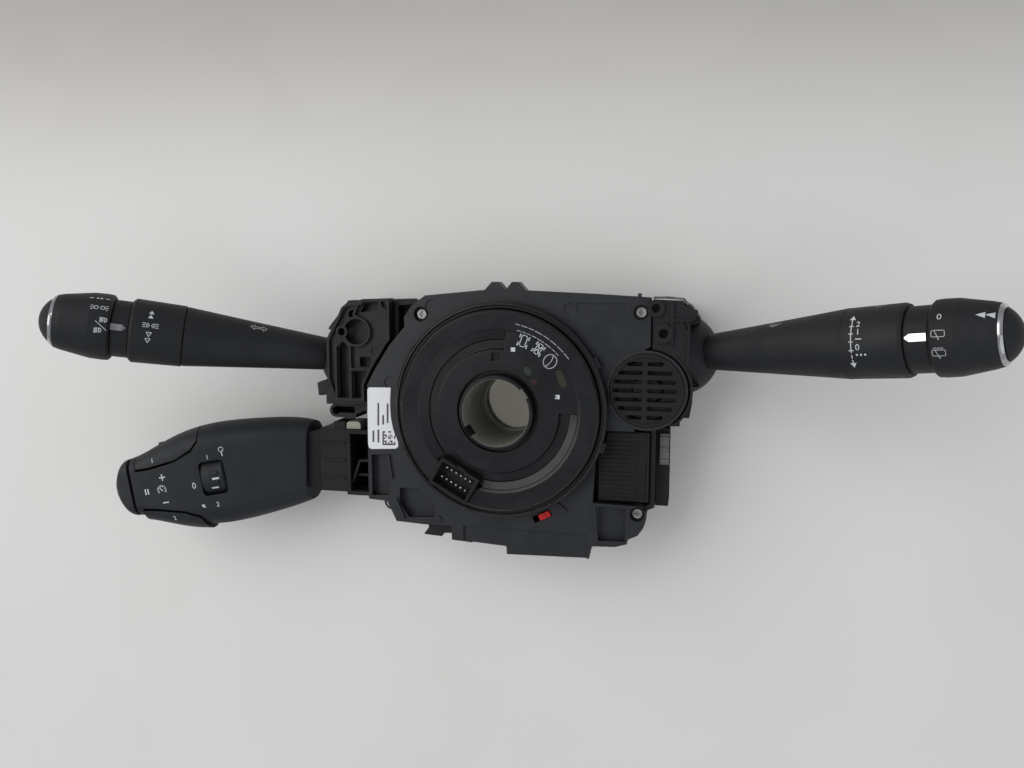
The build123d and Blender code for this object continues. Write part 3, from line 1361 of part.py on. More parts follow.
with BuildPart() as connector_lock:
    with Locations((75.4, -17.7, 34.0)):
        Box(4.2, 14.6, 1.8, align=UPWARD)
    for tooth_y in (-23.0, -17.7, -12.4):
        with Locations((75.4, tooth_y, 35.6)):
            Box(4.2, rib, 0.9, align=UPWARD)
save(connector_lock, "connector_lock")

# ======================================== fasteners ===============================================
screw_head_radius, screw_head_height = 2.2, 1.9
screw_shank = screw_radius - 0.05


def screw(x, y, seat, length):
    """Pan-head screw with a cross recess, seated under its head."""
    with Locations((x, y, seat)):
        Cylinder(screw_head_radius, screw_head_height, align=UPWARD)
    with Locations((x, y, seat + 0.2)):
        Cylinder(screw_shank, length, align=(Align.CENTER, Align.CENTER, Align.MAX))
    with Locations((x, y, seat + screw_head_height - 0.9)):
        Box(2.4, 0.6, 2.0, align=UPWARD, mode=Mode.SUBTRACT)
        Box(0.6, 2.4, 2.0, align=UPWARD, mode=Mode.SUBTRACT)


with BuildPart() as cover_screw_set:
    for x, y in cover_screws:
        screw(x, y, plate_front - counterbore_depth, 13.0)
    screw(*lug_screw, lug_top, 9.0)
save(cover_screw_set, "cover_screws")

with BuildPart() as top_clip:
    stand(
        [(69.4, 51.8), (75.2, 51.9), (82.4, 51.3), (84.2, 49.0), (85.1, 49.6), (82.9, 52.2),
         (75.3, 52.9), (69.4, 52.8)],
        39.8, 44.5,
    )
save(top_clip, "top_clip")
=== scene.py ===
"""Looks of the combination stalk switch: materials, printed symbols, label, table, light and camera.

Lengths are in metres, and in millimetres where a name ends in _mm and inside artwork. Places named as
spots are pixels of the 1024 x 768 photo, carried onto the model by the camera's lines of sight.
"""

import json
from math import cos, pi, radians, sin

import bmesh
import bpy
from mathutils import Matrix, Vector
from mathutils.bvhtree import BVHTree


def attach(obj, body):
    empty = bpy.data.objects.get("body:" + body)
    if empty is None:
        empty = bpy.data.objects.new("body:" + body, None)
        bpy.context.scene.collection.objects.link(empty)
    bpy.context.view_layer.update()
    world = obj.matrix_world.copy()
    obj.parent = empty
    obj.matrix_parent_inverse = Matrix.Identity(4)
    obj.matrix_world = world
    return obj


MM = 0.001
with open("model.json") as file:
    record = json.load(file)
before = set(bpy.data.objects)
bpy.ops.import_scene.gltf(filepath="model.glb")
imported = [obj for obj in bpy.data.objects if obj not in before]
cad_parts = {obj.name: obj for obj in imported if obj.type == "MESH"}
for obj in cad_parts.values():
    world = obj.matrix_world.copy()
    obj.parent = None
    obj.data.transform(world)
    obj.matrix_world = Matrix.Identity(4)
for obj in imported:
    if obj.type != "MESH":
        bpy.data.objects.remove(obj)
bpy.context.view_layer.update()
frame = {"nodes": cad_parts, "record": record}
nodes = frame["nodes"]
body_of_node = {
    name: body for body, names in frame["record"]["behaviour"]["bodies"].items() for name in names
}


# =========================================== materials ============================================
def node_adder(tree):
    """Function that adds a node to the tree; an input is a value or another node's socket."""

    def add(kind, inputs=None, **settings):
        node = tree.nodes.new(kind)
        for key, value in settings.items():
            setattr(node, key, value)
        for key, value in (inputs or {}).items():
            if isinstance(value, bpy.types.NodeSocket):
                tree.links.new(value, node.inputs[key])
            else:
                node.inputs[key].default_value = value
        return node

    return add


def new_material(name):
    """Node material, with its tree, its shader and the function that adds nodes."""
    material = bpy.data.materials.new(name)
    material.use_nodes = True
    tree = material.node_tree
    return material, tree, tree.nodes["Principled BSDF"], node_adder(tree)


def ramp(add, factor, stops):
    """Colour ramp through (position, colour) stops."""
    node = add("ShaderNodeValToRGB", {"Fac": factor})
    elements = node.color_ramp.elements
    while len(elements) < len(stops):
        elements.new(0.5)
    for element, (position, colour) in zip(elements, stops):
        element.position = position
        element.color = (*colour, 1.0)
    return node.outputs["Color"]


def plastic(
    name, dark, light, rough, grain_mm=0.35, grain=0.12, patch_mm=14.0, scuffs=0.25, specular=0.4,
    edge_mm=0.35,
):
    """Moulded plastic: patchy tone, spark-eroded grain, dust specks, uneven gloss and soft edges."""
    dust_pitch_mm = 2.6
    grain_depth_mm = 0.12
    smear_scale = 46.0
    material, tree, shader, add = new_material(name)
    place = add("ShaderNodeTexCoord").outputs["Object"]
    patches = add(
        "ShaderNodeTexNoise",
        {"Vector": place, "Scale": 1 / (patch_mm * MM), "Detail": 5.0, "Roughness": 0.6},
    ).outputs["Fac"]
    specks = add(
        "ShaderNodeTexNoise",
        {"Vector": place, "Scale": 1 / (grain_mm * MM), "Detail": 3.0, "Roughness": 0.65},
    ).outputs["Fac"]
    dust = add(
        "ShaderNodeTexVoronoi",
        {"Vector": place, "Scale": 1 / (dust_pitch_mm * MM), "Randomness": 1.0},
    ).outputs["Distance"]
    tone = ramp(add, patches, [(0.3, dark), (0.72, light)])
    dust_mask = add(
        "ShaderNodeMapRange",
        {"Value": dust, "From Min": 0.05, "From Max": 0.13, "To Min": 0.10, "To Max": 0.0},
    ).outputs["Result"]
    pale = tuple(min(1.0, 2.2 * c + 0.05) for c in light)
    colour = add(
        "ShaderNodeMix", {"Factor": dust_mask, "A": tone, "B": (*pale, 1.0)}, data_type="RGBA"
    )
    tree.links.new(colour.outputs["Result"], shader.inputs["Base Color"])
    smears = add(
        "ShaderNodeTexNoise",
        {"Vector": place, "Scale": smear_scale, "Detail": 7.0, "Distortion": 1.4},
    ).outputs["Fac"]
    gloss = add(
        "ShaderNodeMapRange",
        {
            "Value": smears,
            "From Min": 0.32,
            "From Max": 0.7,
            "To Min": rough - 0.5 * scuffs * rough,
            "To Max": min(1.0, rough + 0.5 * scuffs * rough),
        },
    ).outputs["Result"]
    tree.links.new(gloss, shader.inputs["Roughness"])
    soft_edges = add("ShaderNodeBevel", {"Radius": edge_mm * MM}, samples=6).outputs["Normal"]
    bump = add(
        "ShaderNodeBump",
        {"Height": specks, "Strength": grain, "Distance": grain_depth_mm * MM, "Normal": soft_edges},
    ).outputs["Normal"]
    tree.links.new(bump, shader.inputs["Normal"])
    shader.inputs["Specular IOR Level"].default_value = specular
    return material


def metal(name, dark, light, rough, brush_mm=0.25, strength=0.08):
    """Plated metal with fine brushing and a little tarnish."""
    tarnish_scale = 260.0
    brush_depth_mm = 0.05
    material, tree, shader, add = new_material(name)
    place = add("ShaderNodeTexCoord").outputs["Object"]
    tarnish = add(
        "ShaderNodeTexNoise", {"Vector": place, "Scale": tarnish_scale, "Detail": 4.0}
    ).outputs["Fac"]
    tree.links.new(
        ramp(add, tarnish, [(0.35, dark), (0.65, light)]), shader.inputs["Base Color"]
    )
    brushed = add("ShaderNodeMapping", {"Vector": place, "Scale": (1.0, 8.0, 1.0)})
    lines = add(
        "ShaderNodeTexNoise",
        {"Vector": brushed.outputs["Vector"], "Scale": 1 / (brush_mm * MM), "Detail": 2.0},
    ).outputs["Fac"]
    gloss = add(
        "ShaderNodeMapRange",
        {
            "Value": tarnish,
            "From Min": 0.3,
            "From Max": 0.7,
            "To Min": rough * 0.7,
            "To Max": rough * 1.4,
        },
    ).outputs["Result"]
    tree.links.new(gloss, shader.inputs["Roughness"])
    bump = add(
        "ShaderNodeBump", {"Height": lines, "Strength": strength, "Distance": brush_depth_mm * MM}
    )
    tree.links.new(bump.outputs["Normal"], shader.inputs["Normal"])
    shader.inputs["Metallic"].default_value = 1.0
    return material


charcoal = plastic(
    "charcoal_grained_plastic", (0.0080, 0.0088, 0.0100), (0.0125, 0.0137, 0.0152), rough=0.58,
    grain_mm=0.45, grain=0.30, patch_mm=18.0, scuffs=0.25, specular=0.32, edge_mm=0.5,
)
paddle_charcoal = plastic(
    "paddle_grained_plastic", (0.0092, 0.0112, 0.0140), (0.0135, 0.0163, 0.0200), rough=0.60,
    grain_mm=0.45, grain=0.30, patch_mm=18.0, scuffs=0.25, specular=0.32, edge_mm=0.6,
)
cover_black = plastic(
    "cover_satin_plastic", (0.0095, 0.0108, 0.0132), (0.0155, 0.0173, 0.0205), rough=0.44,
    grain_mm=0.6, grain=0.14, patch_mm=12.0, scuffs=0.5, specular=0.40, edge_mm=0.4,
)
housing_black = plastic(
    "housing_black_plastic", (0.0042, 0.0048, 0.0058), (0.0080, 0.0088, 0.0104), rough=0.50,
    grain_mm=0.6, grain=0.14, patch_mm=12.0, scuffs=0.4, specular=0.34, edge_mm=0.35,
)
rotor_black = plastic(
    "rotor_gloss_black_plastic", (0.0030, 0.0036, 0.0048), (0.0052, 0.0060, 0.0074), rough=0.30,
    grain_mm=1.2, grain=0.05, patch_mm=22.0, scuffs=0.5, specular=0.38, edge_mm=0.5,
)
button_black = plastic(
    "button_satin_plastic", (0.0098, 0.0116, 0.0142), (0.0140, 0.0163, 0.0195), rough=0.52,
    grain_mm=0.5, grain=0.16, patch_mm=16.0, scuffs=0.25, specular=0.33, edge_mm=0.5,
)
connector_black = plastic(
    "connector_matte_plastic", (0.0050, 0.0052, 0.0058), (0.0090, 0.0094, 0.0104), rough=0.62,
    grain_mm=0.5, grain=0.18, patch_mm=8.0, scuffs=0.25, specular=0.3, edge_mm=0.3,
)
olive_grey = plastic(
    "bore_olive_grey_plastic", (0.26, 0.255, 0.21), (0.38, 0.37, 0.31), rough=0.5,
    grain_mm=0.7, grain=0.12, patch_mm=9.0,
)
lock_grey = plastic(
    "lock_grey_plastic", (0.10, 0.10, 0.105), (0.14, 0.14, 0.145), rough=0.5,
    grain_mm=0.5, grain=0.15, patch_mm=6.0,
)
lock_red = plastic(
    "lock_red_plastic", (0.42, 0.006, 0.006), (0.60, 0.012, 0.010), rough=0.34,
    grain_mm=0.6, grain=0.1, patch_mm=5.0,
)
natural_acetal = plastic(
    "natural_acetal", (0.60, 0.58, 0.52), (0.72, 0.70, 0.64), rough=0.42,
    grain_mm=0.8, grain=0.08, patch_mm=10.0,
)
board_green = plastic(
    "solder_mask_green", (0.006, 0.055, 0.018), (0.010, 0.085, 0.030), rough=0.32,
    grain_mm=0.9, grain=0.1,
)
cable_film = plastic(
    "amber_film", (0.30, 0.12, 0.02), (0.46, 0.20, 0.04), rough=0.25, grain_mm=1.0, grain=0.05
)
chrome = metal(
    "chrome_trim", (0.72, 0.73, 0.75), (0.86, 0.86, 0.88), rough=0.12, brush_mm=0.4, strength=0.03
)
ring_chrome = metal(
    "ring_chrome", (0.40, 0.405, 0.41), (0.58, 0.585, 0.60), rough=0.15, brush_mm=0.4, strength=0.03
)
# darker copy of the pointer chrome for the left pointer: painted shade; the right pointer has the
# bright chrome_trim
pointer_chrome_in_shade = metal(
    "shaded_pointer_chrome", (0.22, 0.22, 0.23), (0.42, 0.42, 0.43), rough=0.16, brush_mm=0.4,
    strength=0.03,
)
zinc = metal(
    "zinc_screw", (0.20, 0.20, 0.20), (0.38, 0.38, 0.37), rough=0.36, brush_mm=0.2, strength=0.15
)
spring_steel = metal(
    "dark_spring_steel", (0.10, 0.10, 0.105), (0.20, 0.20, 0.205), rough=0.42, brush_mm=0.2,
    strength=0.15,
)
tinned = metal(
    "tinned_contact", (0.60, 0.56, 0.44), (0.78, 0.73, 0.58), rough=0.25, brush_mm=0.2, strength=0.1
)


def lined_hub(name, bore_mm):
    """Black collar whose bore is moulded in the pale olive plastic of the sleeve."""
    blend_mm = 0.12
    mottle_scale = 140.0
    material = rotor_black.copy()
    material.name = name
    tree = material.node_tree
    shader = tree.nodes["Principled BSDF"]
    add = node_adder(tree)
    place = add("ShaderNodeTexCoord").outputs["Object"]
    parts = add("ShaderNodeSeparateXYZ", {"Vector": place}).outputs
    across = add("ShaderNodeCombineXYZ", {"X": parts["X"], "Y": parts["Y"]}).outputs["Vector"]
    radius = add("ShaderNodeVectorMath", {0: across}, operation="LENGTH").outputs["Value"]
    inside = add(
        "ShaderNodeMapRange",
        {
            "Value": radius,
            "From Min": bore_mm * MM,
            "From Max": (bore_mm + blend_mm) * MM,
            "To Min": 1.0,
            "To Max": 0.0,
        },
    ).outputs["Result"]
    mottle = add("ShaderNodeTexNoise", {"Vector": place, "Scale": mottle_scale}).outputs["Fac"]
    olive = ramp(add, mottle, [(0.0, (0.16, 0.16, 0.14)), (1.0, (0.26, 0.26, 0.23))])
    black = shader.inputs["Base Color"].links[0].from_socket
    mix = add("ShaderNodeMix", {"Factor": inside, "A": black, "B": olive}, data_type="RGBA")
    tree.links.new(mix.outputs["Result"], shader.inputs["Base Color"])
    return material


hub_plastic = lined_hub("lined_hub_plastic", bore_mm=15.55)

finishes = {
    charcoal: [
        "left_core", "right_core", "left_stalk_body", "left_knob", "left_fog_ring",
        "left_end_button", "left_ball_cap", "right_stalk_body", "right_knob", "right_end_button",
        "right_ball_cap",
    ],
    paddle_charcoal: ["cruise_front_shell", "cruise_rear_shell"],
    cover_black: ["front_cover"],
    button_black: [
        "cruise_upper_button", "cruise_lower_button", "cruise_end_button", "cruise_wheel",
    ],
    rotor_black: ["rotor_disc", "cassette_rim"],
    hub_plastic: ["rotor_hub"],
    connector_black: [
        "rotor_connector", "side_connector", "speaker_grille", "cruise_plug", "cruise_bracket",
        "cruise_latch", "bay_cover",
    ],
    olive_grey: ["bore_sleeve", "bracket_clip"],
    lock_grey: ["connector_lock"],
    lock_red: ["lock_tab"],
    natural_acetal: [
        "left_carrier", "left_detent_plunger", "left_detent_track",
        "right_carrier", "right_detent_plunger", "right_detent_track", "code_disc",
    ],
    board_green: ["main_board", "cruise_board"],
    cable_film: ["flat_cable"],
    chrome: ["right_pointer"],
    ring_chrome: ["left_knob_ring", "right_knob_ring"],
    # left pointer: its darker chrome is painted shade
    pointer_chrome_in_shade: ["left_pointer"],
    zinc: ["cover_screws"],
    spring_steel: ["top_clip"],
    tinned: ["rotor_pins", "side_connector_pins"],
}
finish_of = {name: finish for finish, names in finishes.items() for name in names}
for name, node in nodes.items():
    node.data.materials.clear()
    node.data.materials.append(finish_of.get(name, housing_black))


# ======================================== table and light =========================================
def table_material():
    """Pale painted table top: faint mottling, painted shade that darkens it towards its far side, and
    painted light inside the bore that only the camera sees.
    """
    near_dark, near_light = (0.740, 0.730, 0.708), (0.780, 0.770, 0.752)
    # far colours are painted shade: the table is darkened towards its far side, fading in between
    # fade_start and fade_end
    far_shade_dark, far_shade_light = (0.405, 0.388, 0.358), (0.438, 0.421, 0.390)
    fade_start, fade_end = 0.085, 0.235
    bore_radius = 0.0165
    painted_bore_light_strength = 0.085
    material, tree, shader, add = new_material("pale_table")
    place = add("ShaderNodeTexCoord").outputs["Object"]
    cloud = add("ShaderNodeTexNoise", {"Vector": place, "Scale": 7.0, "Detail": 6.0}).outputs["Fac"]
    fleck = add("ShaderNodeTexNoise", {"Vector": place, "Scale": 900.0, "Detail": 2.0}).outputs["Fac"]
    near = ramp(add, cloud, [(0.3, near_dark), (0.7, near_light)])
    far = ramp(add, cloud, [(0.3, far_shade_dark), (0.7, far_shade_light)])
    height = add("ShaderNodeSeparateXYZ", {"Vector": place}).outputs["Y"]
    # painted shade: 0 on the near side, 1 on the far side
    distance = add(
        "ShaderNodeMapRange",
        {"Value": height, "From Min": fade_start, "From Max": fade_end, "To Min": 0.0, "To Max": 1.0},
        interpolation_type="SMOOTHSTEP",
    ).outputs["Result"]
    tone = add("ShaderNodeMix", {"Factor": distance, "A": near, "B": far}, data_type="RGBA")
    tree.links.new(tone.outputs["Result"], shader.inputs["Base Color"])
    shader.inputs["Roughness"].default_value = 0.62
    bump = add("ShaderNodeBump", {"Height": fleck, "Strength": 0.08, "Distance": 0.1 * MM})
    tree.links.new(bump.outputs["Normal"], shader.inputs["Normal"])
    # painted light: inside the bore radius the table shines, for camera rays only, in the emission
    # colour below
    from_axis = add("ShaderNodeVectorMath", {0: place}, operation="LENGTH").outputs["Value"]
    in_bore = add(
        "ShaderNodeMath", {0: from_axis, 1: bore_radius}, operation="LESS_THAN"
    ).outputs["Value"]
    seen = add("ShaderNodeLightPath").outputs["Is Camera Ray"]
    painted_bore_light_mask = add("ShaderNodeMath", {0: in_bore, 1: seen}, operation="MULTIPLY").outputs["Value"]
    painted_bore_light = add("ShaderNodeMath", {0: painted_bore_light_mask, 1: painted_bore_light_strength}, operation="MULTIPLY").outputs["Value"]
    # colour of the painted light inside the bore
    shader.inputs["Emission Color"].default_value = (1.0, 0.94, 0.79, 1.0)
    tree.links.new(painted_bore_light, shader.inputs["Emission Strength"])
    return material


table_side = 6.0
table_gap = 0.0002
bpy.ops.mesh.primitive_plane_add(size=table_side, location=(0, 0, -table_gap))
table = bpy.context.object
table.name = "table_top"
table.data.materials.append(table_material())


def area_light(name, position, size, power, colour):
    """Rectangular light that faces the origin."""
    data = bpy.data.lights.new(name, "AREA")
    data.shape = "RECTANGLE"
    data.size, data.size_y = size
    data.energy = power
    data.color = colour
    light = bpy.data.objects.new(name, data)
    light.location = position
    light.rotation_euler = (-Vector(position)).to_track_quat("-Z", "Y").to_euler()
    bpy.context.scene.collection.objects.link(light)
    return light


area_light("window", (-1.2, 0.7, 1.5), size=(2.4, 1.9), power=26.0, colour=(1.0, 0.99, 0.97))
area_light("fill", (1.25, -0.95, 1.5), size=(2.6, 2.2), power=9.0, colour=(0.97, 0.985, 1.0))

world_colour = (0.93, 0.95, 1.0, 1.0)
world_strength = 0.43
world = bpy.data.worlds.new("room")
bpy.context.scene.world = world
world.use_nodes = True
world.node_tree.nodes["Background"].inputs["Color"].default_value = world_colour
world.node_tree.nodes["Background"].inputs["Strength"].default_value = world_strength

# ============================================= camera =============================================
# the camera was fitted to the photo: its three axes, and its place in millimetres
camera_right = Vector((0.978456, 0.001773, -0.206449))
camera_up = Vector((-0.026023, 0.993047, -0.114809))
camera_back = Vector((0.204810, 0.117708, 0.971698))
camera_place_mm = Vector((86.48, 58.75, 431.21))
photo_width, photo_height = 1024, 768
camera_data = bpy.data.cameras.new("camera")
camera_data.lens = 30.0
camera_data.sensor_width = 36.0
camera_data.clip_start = 0.01
camera = bpy.data.objects.new("camera", camera_data)
bpy.context.scene.collection.objects.link(camera)
camera_turn = Matrix((camera_right, camera_up, camera_back)).transposed().to_4x4()
camera.matrix_world = Matrix.Translation(camera_place_mm * MM) @ camera_turn
bpy.context.scene.camera = camera
bpy.context.scene.view_settings.view_transform = "Standard"


# ======================================== printed symbols =========================================
def ink(name, dark, light, rough=0.5, worn=0.12):
    """Pad-printed ink with slight unevenness."""
    material, tree, shader, add = new_material(name)
    place = add("ShaderNodeTexCoord").outputs["Object"]
    wear = add("ShaderNodeTexNoise", {"Vector": place, "Scale": 1500.0, "Detail": 4.0}).outputs["Fac"]
    tree.links.new(ramp(add, wear, [(0.28, dark), (0.28 + worn, light)]), shader.inputs["Base Color"])
    shader.inputs["Roughness"].default_value = rough
    return material


white_ink = ink("white_symbol_ink", (0.30, 0.31, 0.32), (0.58, 0.60, 0.61))
dim_ink = ink("grey_symbol_ink", (0.22, 0.22, 0.225), (0.42, 0.43, 0.44))


class Artwork:
    """Flat artwork in millimetres: x runs to the reader's right and y up."""

    glyph_size_per_height = 1.38
    stroke_overlap = 0.6

    def __init__(self):
        self.faces = []

    def polygon(self, points):
        """Filled outline."""
        self.faces.append([tuple(point) for point in points])
        return self

    def stroke(self, points, width=0.4, closed=False):
        """Ribbon of constant width through the points."""
        ends = list(zip(points, points[1:]))
        if closed:
            ends.append((points[-1], points[0]))
        for (x0, y0), (x1, y1) in ends:
            along = Vector((x1 - x0, y1 - y0)).normalized() * width / 2
            side = Vector((-along.y, along.x))
            a = Vector((x0, y0)) - along * self.stroke_overlap
            b = Vector((x1, y1)) + along * self.stroke_overlap
            self.polygon([a - side, b - side, b + side, a + side])
        return self

    def dash(self, length, width=0.4):
        """Level stroke centred on the origin."""
        return self.stroke([(-length / 2, 0), (length / 2, 0)], width)

    def arc(self, centre, radius, start, end, width=0.4, steps=24, squash=1.0):
        """Stroke along a circle's arc, in degrees; squash scales it upright."""
        angles = [radians(start + (end - start) * k / steps) for k in range(steps + 1)]
        x, y = centre
        points = [(x + radius * cos(a), y + squash * radius * sin(a)) for a in angles]
        return self.stroke(points, width)

    def dot(self, centre, radius, sides=20):
        """Filled circle."""
        x, y = centre
        angles = [2 * pi * k / sides for k in range(sides)]
        return self.polygon([(x + radius * cos(a), y + radius * sin(a)) for a in angles])

    def glyphs(self, text, height):
        """Numerals from the built-in font, centred on the origin."""
        curve = bpy.data.curves.new("glyphs", "FONT")
        curve.body = text
        curve.size = height * self.glyph_size_per_height
        curve.align_x = "CENTER"
        holder = bpy.data.objects.new("glyphs", curve)
        mesh = bpy.data.meshes.new_from_object(holder)
        for face in mesh.polygons:
            corners = [mesh.vertices[v].co for v in face.vertices]
            self.polygon([(c.x, c.y - height / 2) for c in corners])
        bpy.data.objects.remove(holder)
        bpy.data.curves.remove(curve)
        bpy.data.meshes.remove(mesh)
        return self

    def moved(self, shift, scale=1.0, turn=0.0):
        """Copy that is scaled, turned in degrees and then shifted."""
        c, s = cos(radians(turn)) * scale, sin(radians(turn)) * scale
        art = Artwork()
        art.faces = [
            [(shift[0] + c * x - s * y, shift[1] + s * x + c * y) for x, y in face]
            for face in self.faces
        ]
        return art

    def resized(self, scale, turn=0.0):
        """Copy that is scaled and turned about the origin."""
        return self.moved((0, 0), scale, turn)

    def also(self, other):
        """This artwork with the other one added."""
        self.faces += other.faces
        return self


surface_trees = {}


def surface(node):
    """Search tree over a CAD node's surface."""
    if node not in surface_trees:
        mesh = nodes[node].data
        corners = [v.co.copy() for v in mesh.vertices]
        surface_trees[node] = BVHTree.FromPolygons(corners, [p.vertices[:] for p in mesh.polygons])
    return surface_trees[node]


def photo_ray(x, y):
    """Start and direction of the line of sight through a spot of the photo."""
    focal = camera_data.lens / camera_data.sensor_width * photo_width
    across = camera_right * (x - photo_width / 2) / focal
    upward = camera_up * (y - photo_height / 2) / focal
    return camera.matrix_world.translation.copy(), (across - upward - camera_back).normalized()


def on_surface(node, x, y):
    """Point and outward normal where the line of sight meets a node."""
    start, direction = photo_ray(x, y)
    point, normal, _, _ = surface(node).ray_cast(start, direction)
    if point is None:
        raise ValueError(f"the line of sight at {x}, {y} misses {node}")
    if normal.dot(direction) > 0:
        normal = -normal
    return point, normal


def mesh_object(name, shape, finish):
    """Scene object with one finish, made from a bmesh that is used up."""
    mesh = bpy.data.meshes.new(name)
    shape.to_mesh(mesh)
    shape.free()
    made = bpy.data.objects.new(name, mesh)
    made.data.materials.append(finish)
    bpy.context.scene.collection.objects.link(made)
    return made


def lay_on(name, art, node, point, normal, reading, finish=None, lift_mm=0.05, cell_mm=0.6):
    """Mesh of the artwork laid on a node's surface; reading is its left-to-right direction."""
    search_start, search_length = 0.012, 0.03
    across = (reading - reading.dot(normal) * normal).normalized()
    upward = normal.cross(across)
    flat = bmesh.new()
    for face in art.faces:
        flat.faces.new([flat.verts.new((x, y, 0.0)) for x, y in face])
    bmesh.ops.triangulate(flat, faces=flat.faces[:])
    xs = [v.co.x for v in flat.verts]
    ys = [v.co.y for v in flat.verts]
    for axis, low, high in ((0, min(xs), max(xs)), (1, min(ys), max(ys))):
        step = low + cell_mm
        while step < high:
            plane_point, plane_normal = Vector((0, 0, 0)), Vector((0, 0, 0))
            plane_point[axis], plane_normal[axis] = step, 1.0
            geometry = flat.verts[:] + flat.edges[:] + flat.faces[:]
            bmesh.ops.bisect_plane(
                flat, geom=geometry, dist=1e-5, plane_co=plane_point, plane_no=plane_normal
            )
            step += cell_mm
    tree = surface(node)
    for vertex in flat.verts:
        place = point + (across * vertex.co.x + upward * vertex.co.y) * MM
        hit, facing, _, _ = tree.ray_cast(place + normal * search_start, -normal, search_length)
        if hit is None:
            hit, facing = place, normal
        if facing.dot(normal) < 0:
            facing = -facing
        vertex.co = hit + facing * lift_mm * MM
    piece = mesh_object(name, flat, finish or white_ink)
    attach(piece, body_of_node[node])
    return piece


# where the middle of each print lies in the photo
print_spots = {
    "print_light_dots": (100, 298.4),
    "print_side_lamps": (99.5, 307.5),
    "print_main_beam": (104.5, 320),
    "print_dip_beam": (98.5, 330),
    "print_beam_slash": (100.5, 325.5),
    "print_fog_up": (152, 312.5),
    "print_fog_lamps": (150.5, 325.5),
    "print_fog_down": (148.6, 334.5),
    "print_direction": (259, 328),
    "print_wiper_scale": (850.5, 340),
    "print_wiper_2": (858.2, 324),
    "print_wiper_1": (857.7, 331.5),
    "print_wiper_0": (857.2, 347),
    "print_wiper_pause": (858, 339),
    "print_wiper_rain": (861, 354.5),
    "print_wiper_front": (776, 325.5),
    "print_wiper_mist": (881, 306.5),
    "print_rear_zero": (939, 316.5),
    "print_rear_wiper": (937.5, 333.5),
    "print_rear_wash": (938.8, 353),
    "print_rear_arrows": (986.4, 315),
    "print_memory_one": (152, 460.5),
    "print_memory_two": (175, 518.0),
    "print_faster": (162, 477.5),
    "print_slower": (166, 502.5),
    "print_gauge": (162, 490),
    "print_pause": (147, 492),
    "print_wheel_zero": (194, 485.5),
    "print_wheel_one": (207, 457),
    "print_pin_mark": (221, 451.5),
    "print_wheel_two": (218, 504),
    "print_corner_mark": (204, 506),
    "print_wheel_dash_upper": (215.5, 478.5),
    "print_wheel_dash_lower": (215.5, 487.5),
    "print_rotor_frame": (523.5, 341),
    "print_rotor_crossed": (538.5, 349),
    "print_rotor_wheel": (550, 361.5),
    "print_rotor_square_a": (513, 349.5),
    "print_rotor_square_b": (557.5, 397),
}


def print_at(name, art, node, reading, finish=None):
    """Artwork laid where the line of sight through the print's spot meets the node."""
    point, normal = on_surface(node, *print_spots[name])
    return lay_on(name, art, node, point, normal, reading, finish)


def lamp(beams, dip=0.0, mirrored=False):
    """Lamp seen from the side, with its rays to the left, or to the right if mirrored."""
    radius, ray_start, ray_end = 0.95, -0.6, -2.0
    art = Artwork().stroke([(0, -radius), (0, radius)], width=0.36)
    art.arc((0, 0), radius, -90, 90, width=0.36, steps=12)
    for k in range(beams):
        level = -radius + 2 * radius * k / (beams - 1)
        art.stroke([(ray_start, level), (ray_end, level - dip)], width=0.3)
    if mirrored:
        art.faces = [[(-x, y) for x, y in face] for face in art.faces]
    return art


def triangle(size, points_up=True, hollow=False):
    """Filled or hollow triangle that points up or down."""
    s = size / 2 * (1 if points_up else -1)
    corners = [(-size * 0.58, -s), (size * 0.58, -s), (0, s)]
    if hollow:
        return Artwork().stroke(corners, width=0.32, closed=True)
    return Artwork().polygon(corners)


def side_lamps():
    """Two round lamps side by side with splayed rays outwards."""
    centre, ray_start, ray_end = 1.35, 1.35, 2.5
    art = Artwork()
    for side in (-1, 1):
        art.arc((side * centre, 0), 0.85, 0, 360, width=0.34, steps=20)
        for tilt in (-28, 0, 28):
            c, s = cos(radians(tilt)), sin(radians(tilt))
            inner = (side * (centre + ray_start * c), ray_start * s * 1.1)
            outer = (side * (centre + ray_end * c), ray_end * s)
            art.stroke([inner, outer], width=0.3)
    return art


def rear_window(wet=False):
    """Rear window with its wiper, and a spray above it if wet."""
    frame_points = [
        (-2.3, -0.9), (-2.3, 0.8), (-1.9, 1.2), (1.9, 1.2), (2.3, 0.8), (2.3, -0.9), (1.9, -1.2),
        (-1.9, -1.2),
    ]
    art = Artwork().stroke(frame_points, width=0.26, closed=True)
    art.stroke([(-1.2, 1.1), (0.2, -2.0)], width=0.26).dot((0.2, -2.0), 0.28)
    if wet:
        for x in (-1.2, 0.0, 1.2):
            art.stroke([(x - 0.5, 1.7), (x, 2.1), (x + 0.4, 1.8)], width=0.24)
    return art


def wiper_fan():
    """Front wiper: blade with a swept arc."""
    art = Artwork().stroke([(-2.2, 0.6), (-1.2, -0.5), (1.8, 0.9)], width=0.26)
    return art.arc((-1.2, -1.4), 2.2, 50, 130, width=0.24, steps=10)


def turn_arrow(side):
    """Hollow direction arrow to the left (-1) or right (1)."""
    points = [
        (0.3, 0.45), (1.5, 0.45), (1.5, 1.1), (2.9, 0), (1.5, -1.1), (1.5, -0.45), (0.3, -0.45),
    ]
    return Artwork().stroke([(side * x, y) for x, y in points], width=0.26, closed=True)


def gauge():
    """Dial with ticks and a needle."""
    tick_start, tick_end = 1.55, 2.2
    art = Artwork().arc((0, 0), 2.3, -35, 215, width=0.42, steps=30)
    for angle in range(-20, 201, 44):
        c, s = cos(radians(angle)), sin(radians(angle))
        art.stroke([(tick_start * c, tick_start * s), (tick_end * c, tick_end * s)], width=0.32)
    return art.stroke([(0.1, -0.2), (-0.9, 1.0)], width=0.4).dot((0.1, -0.2), 0.42)


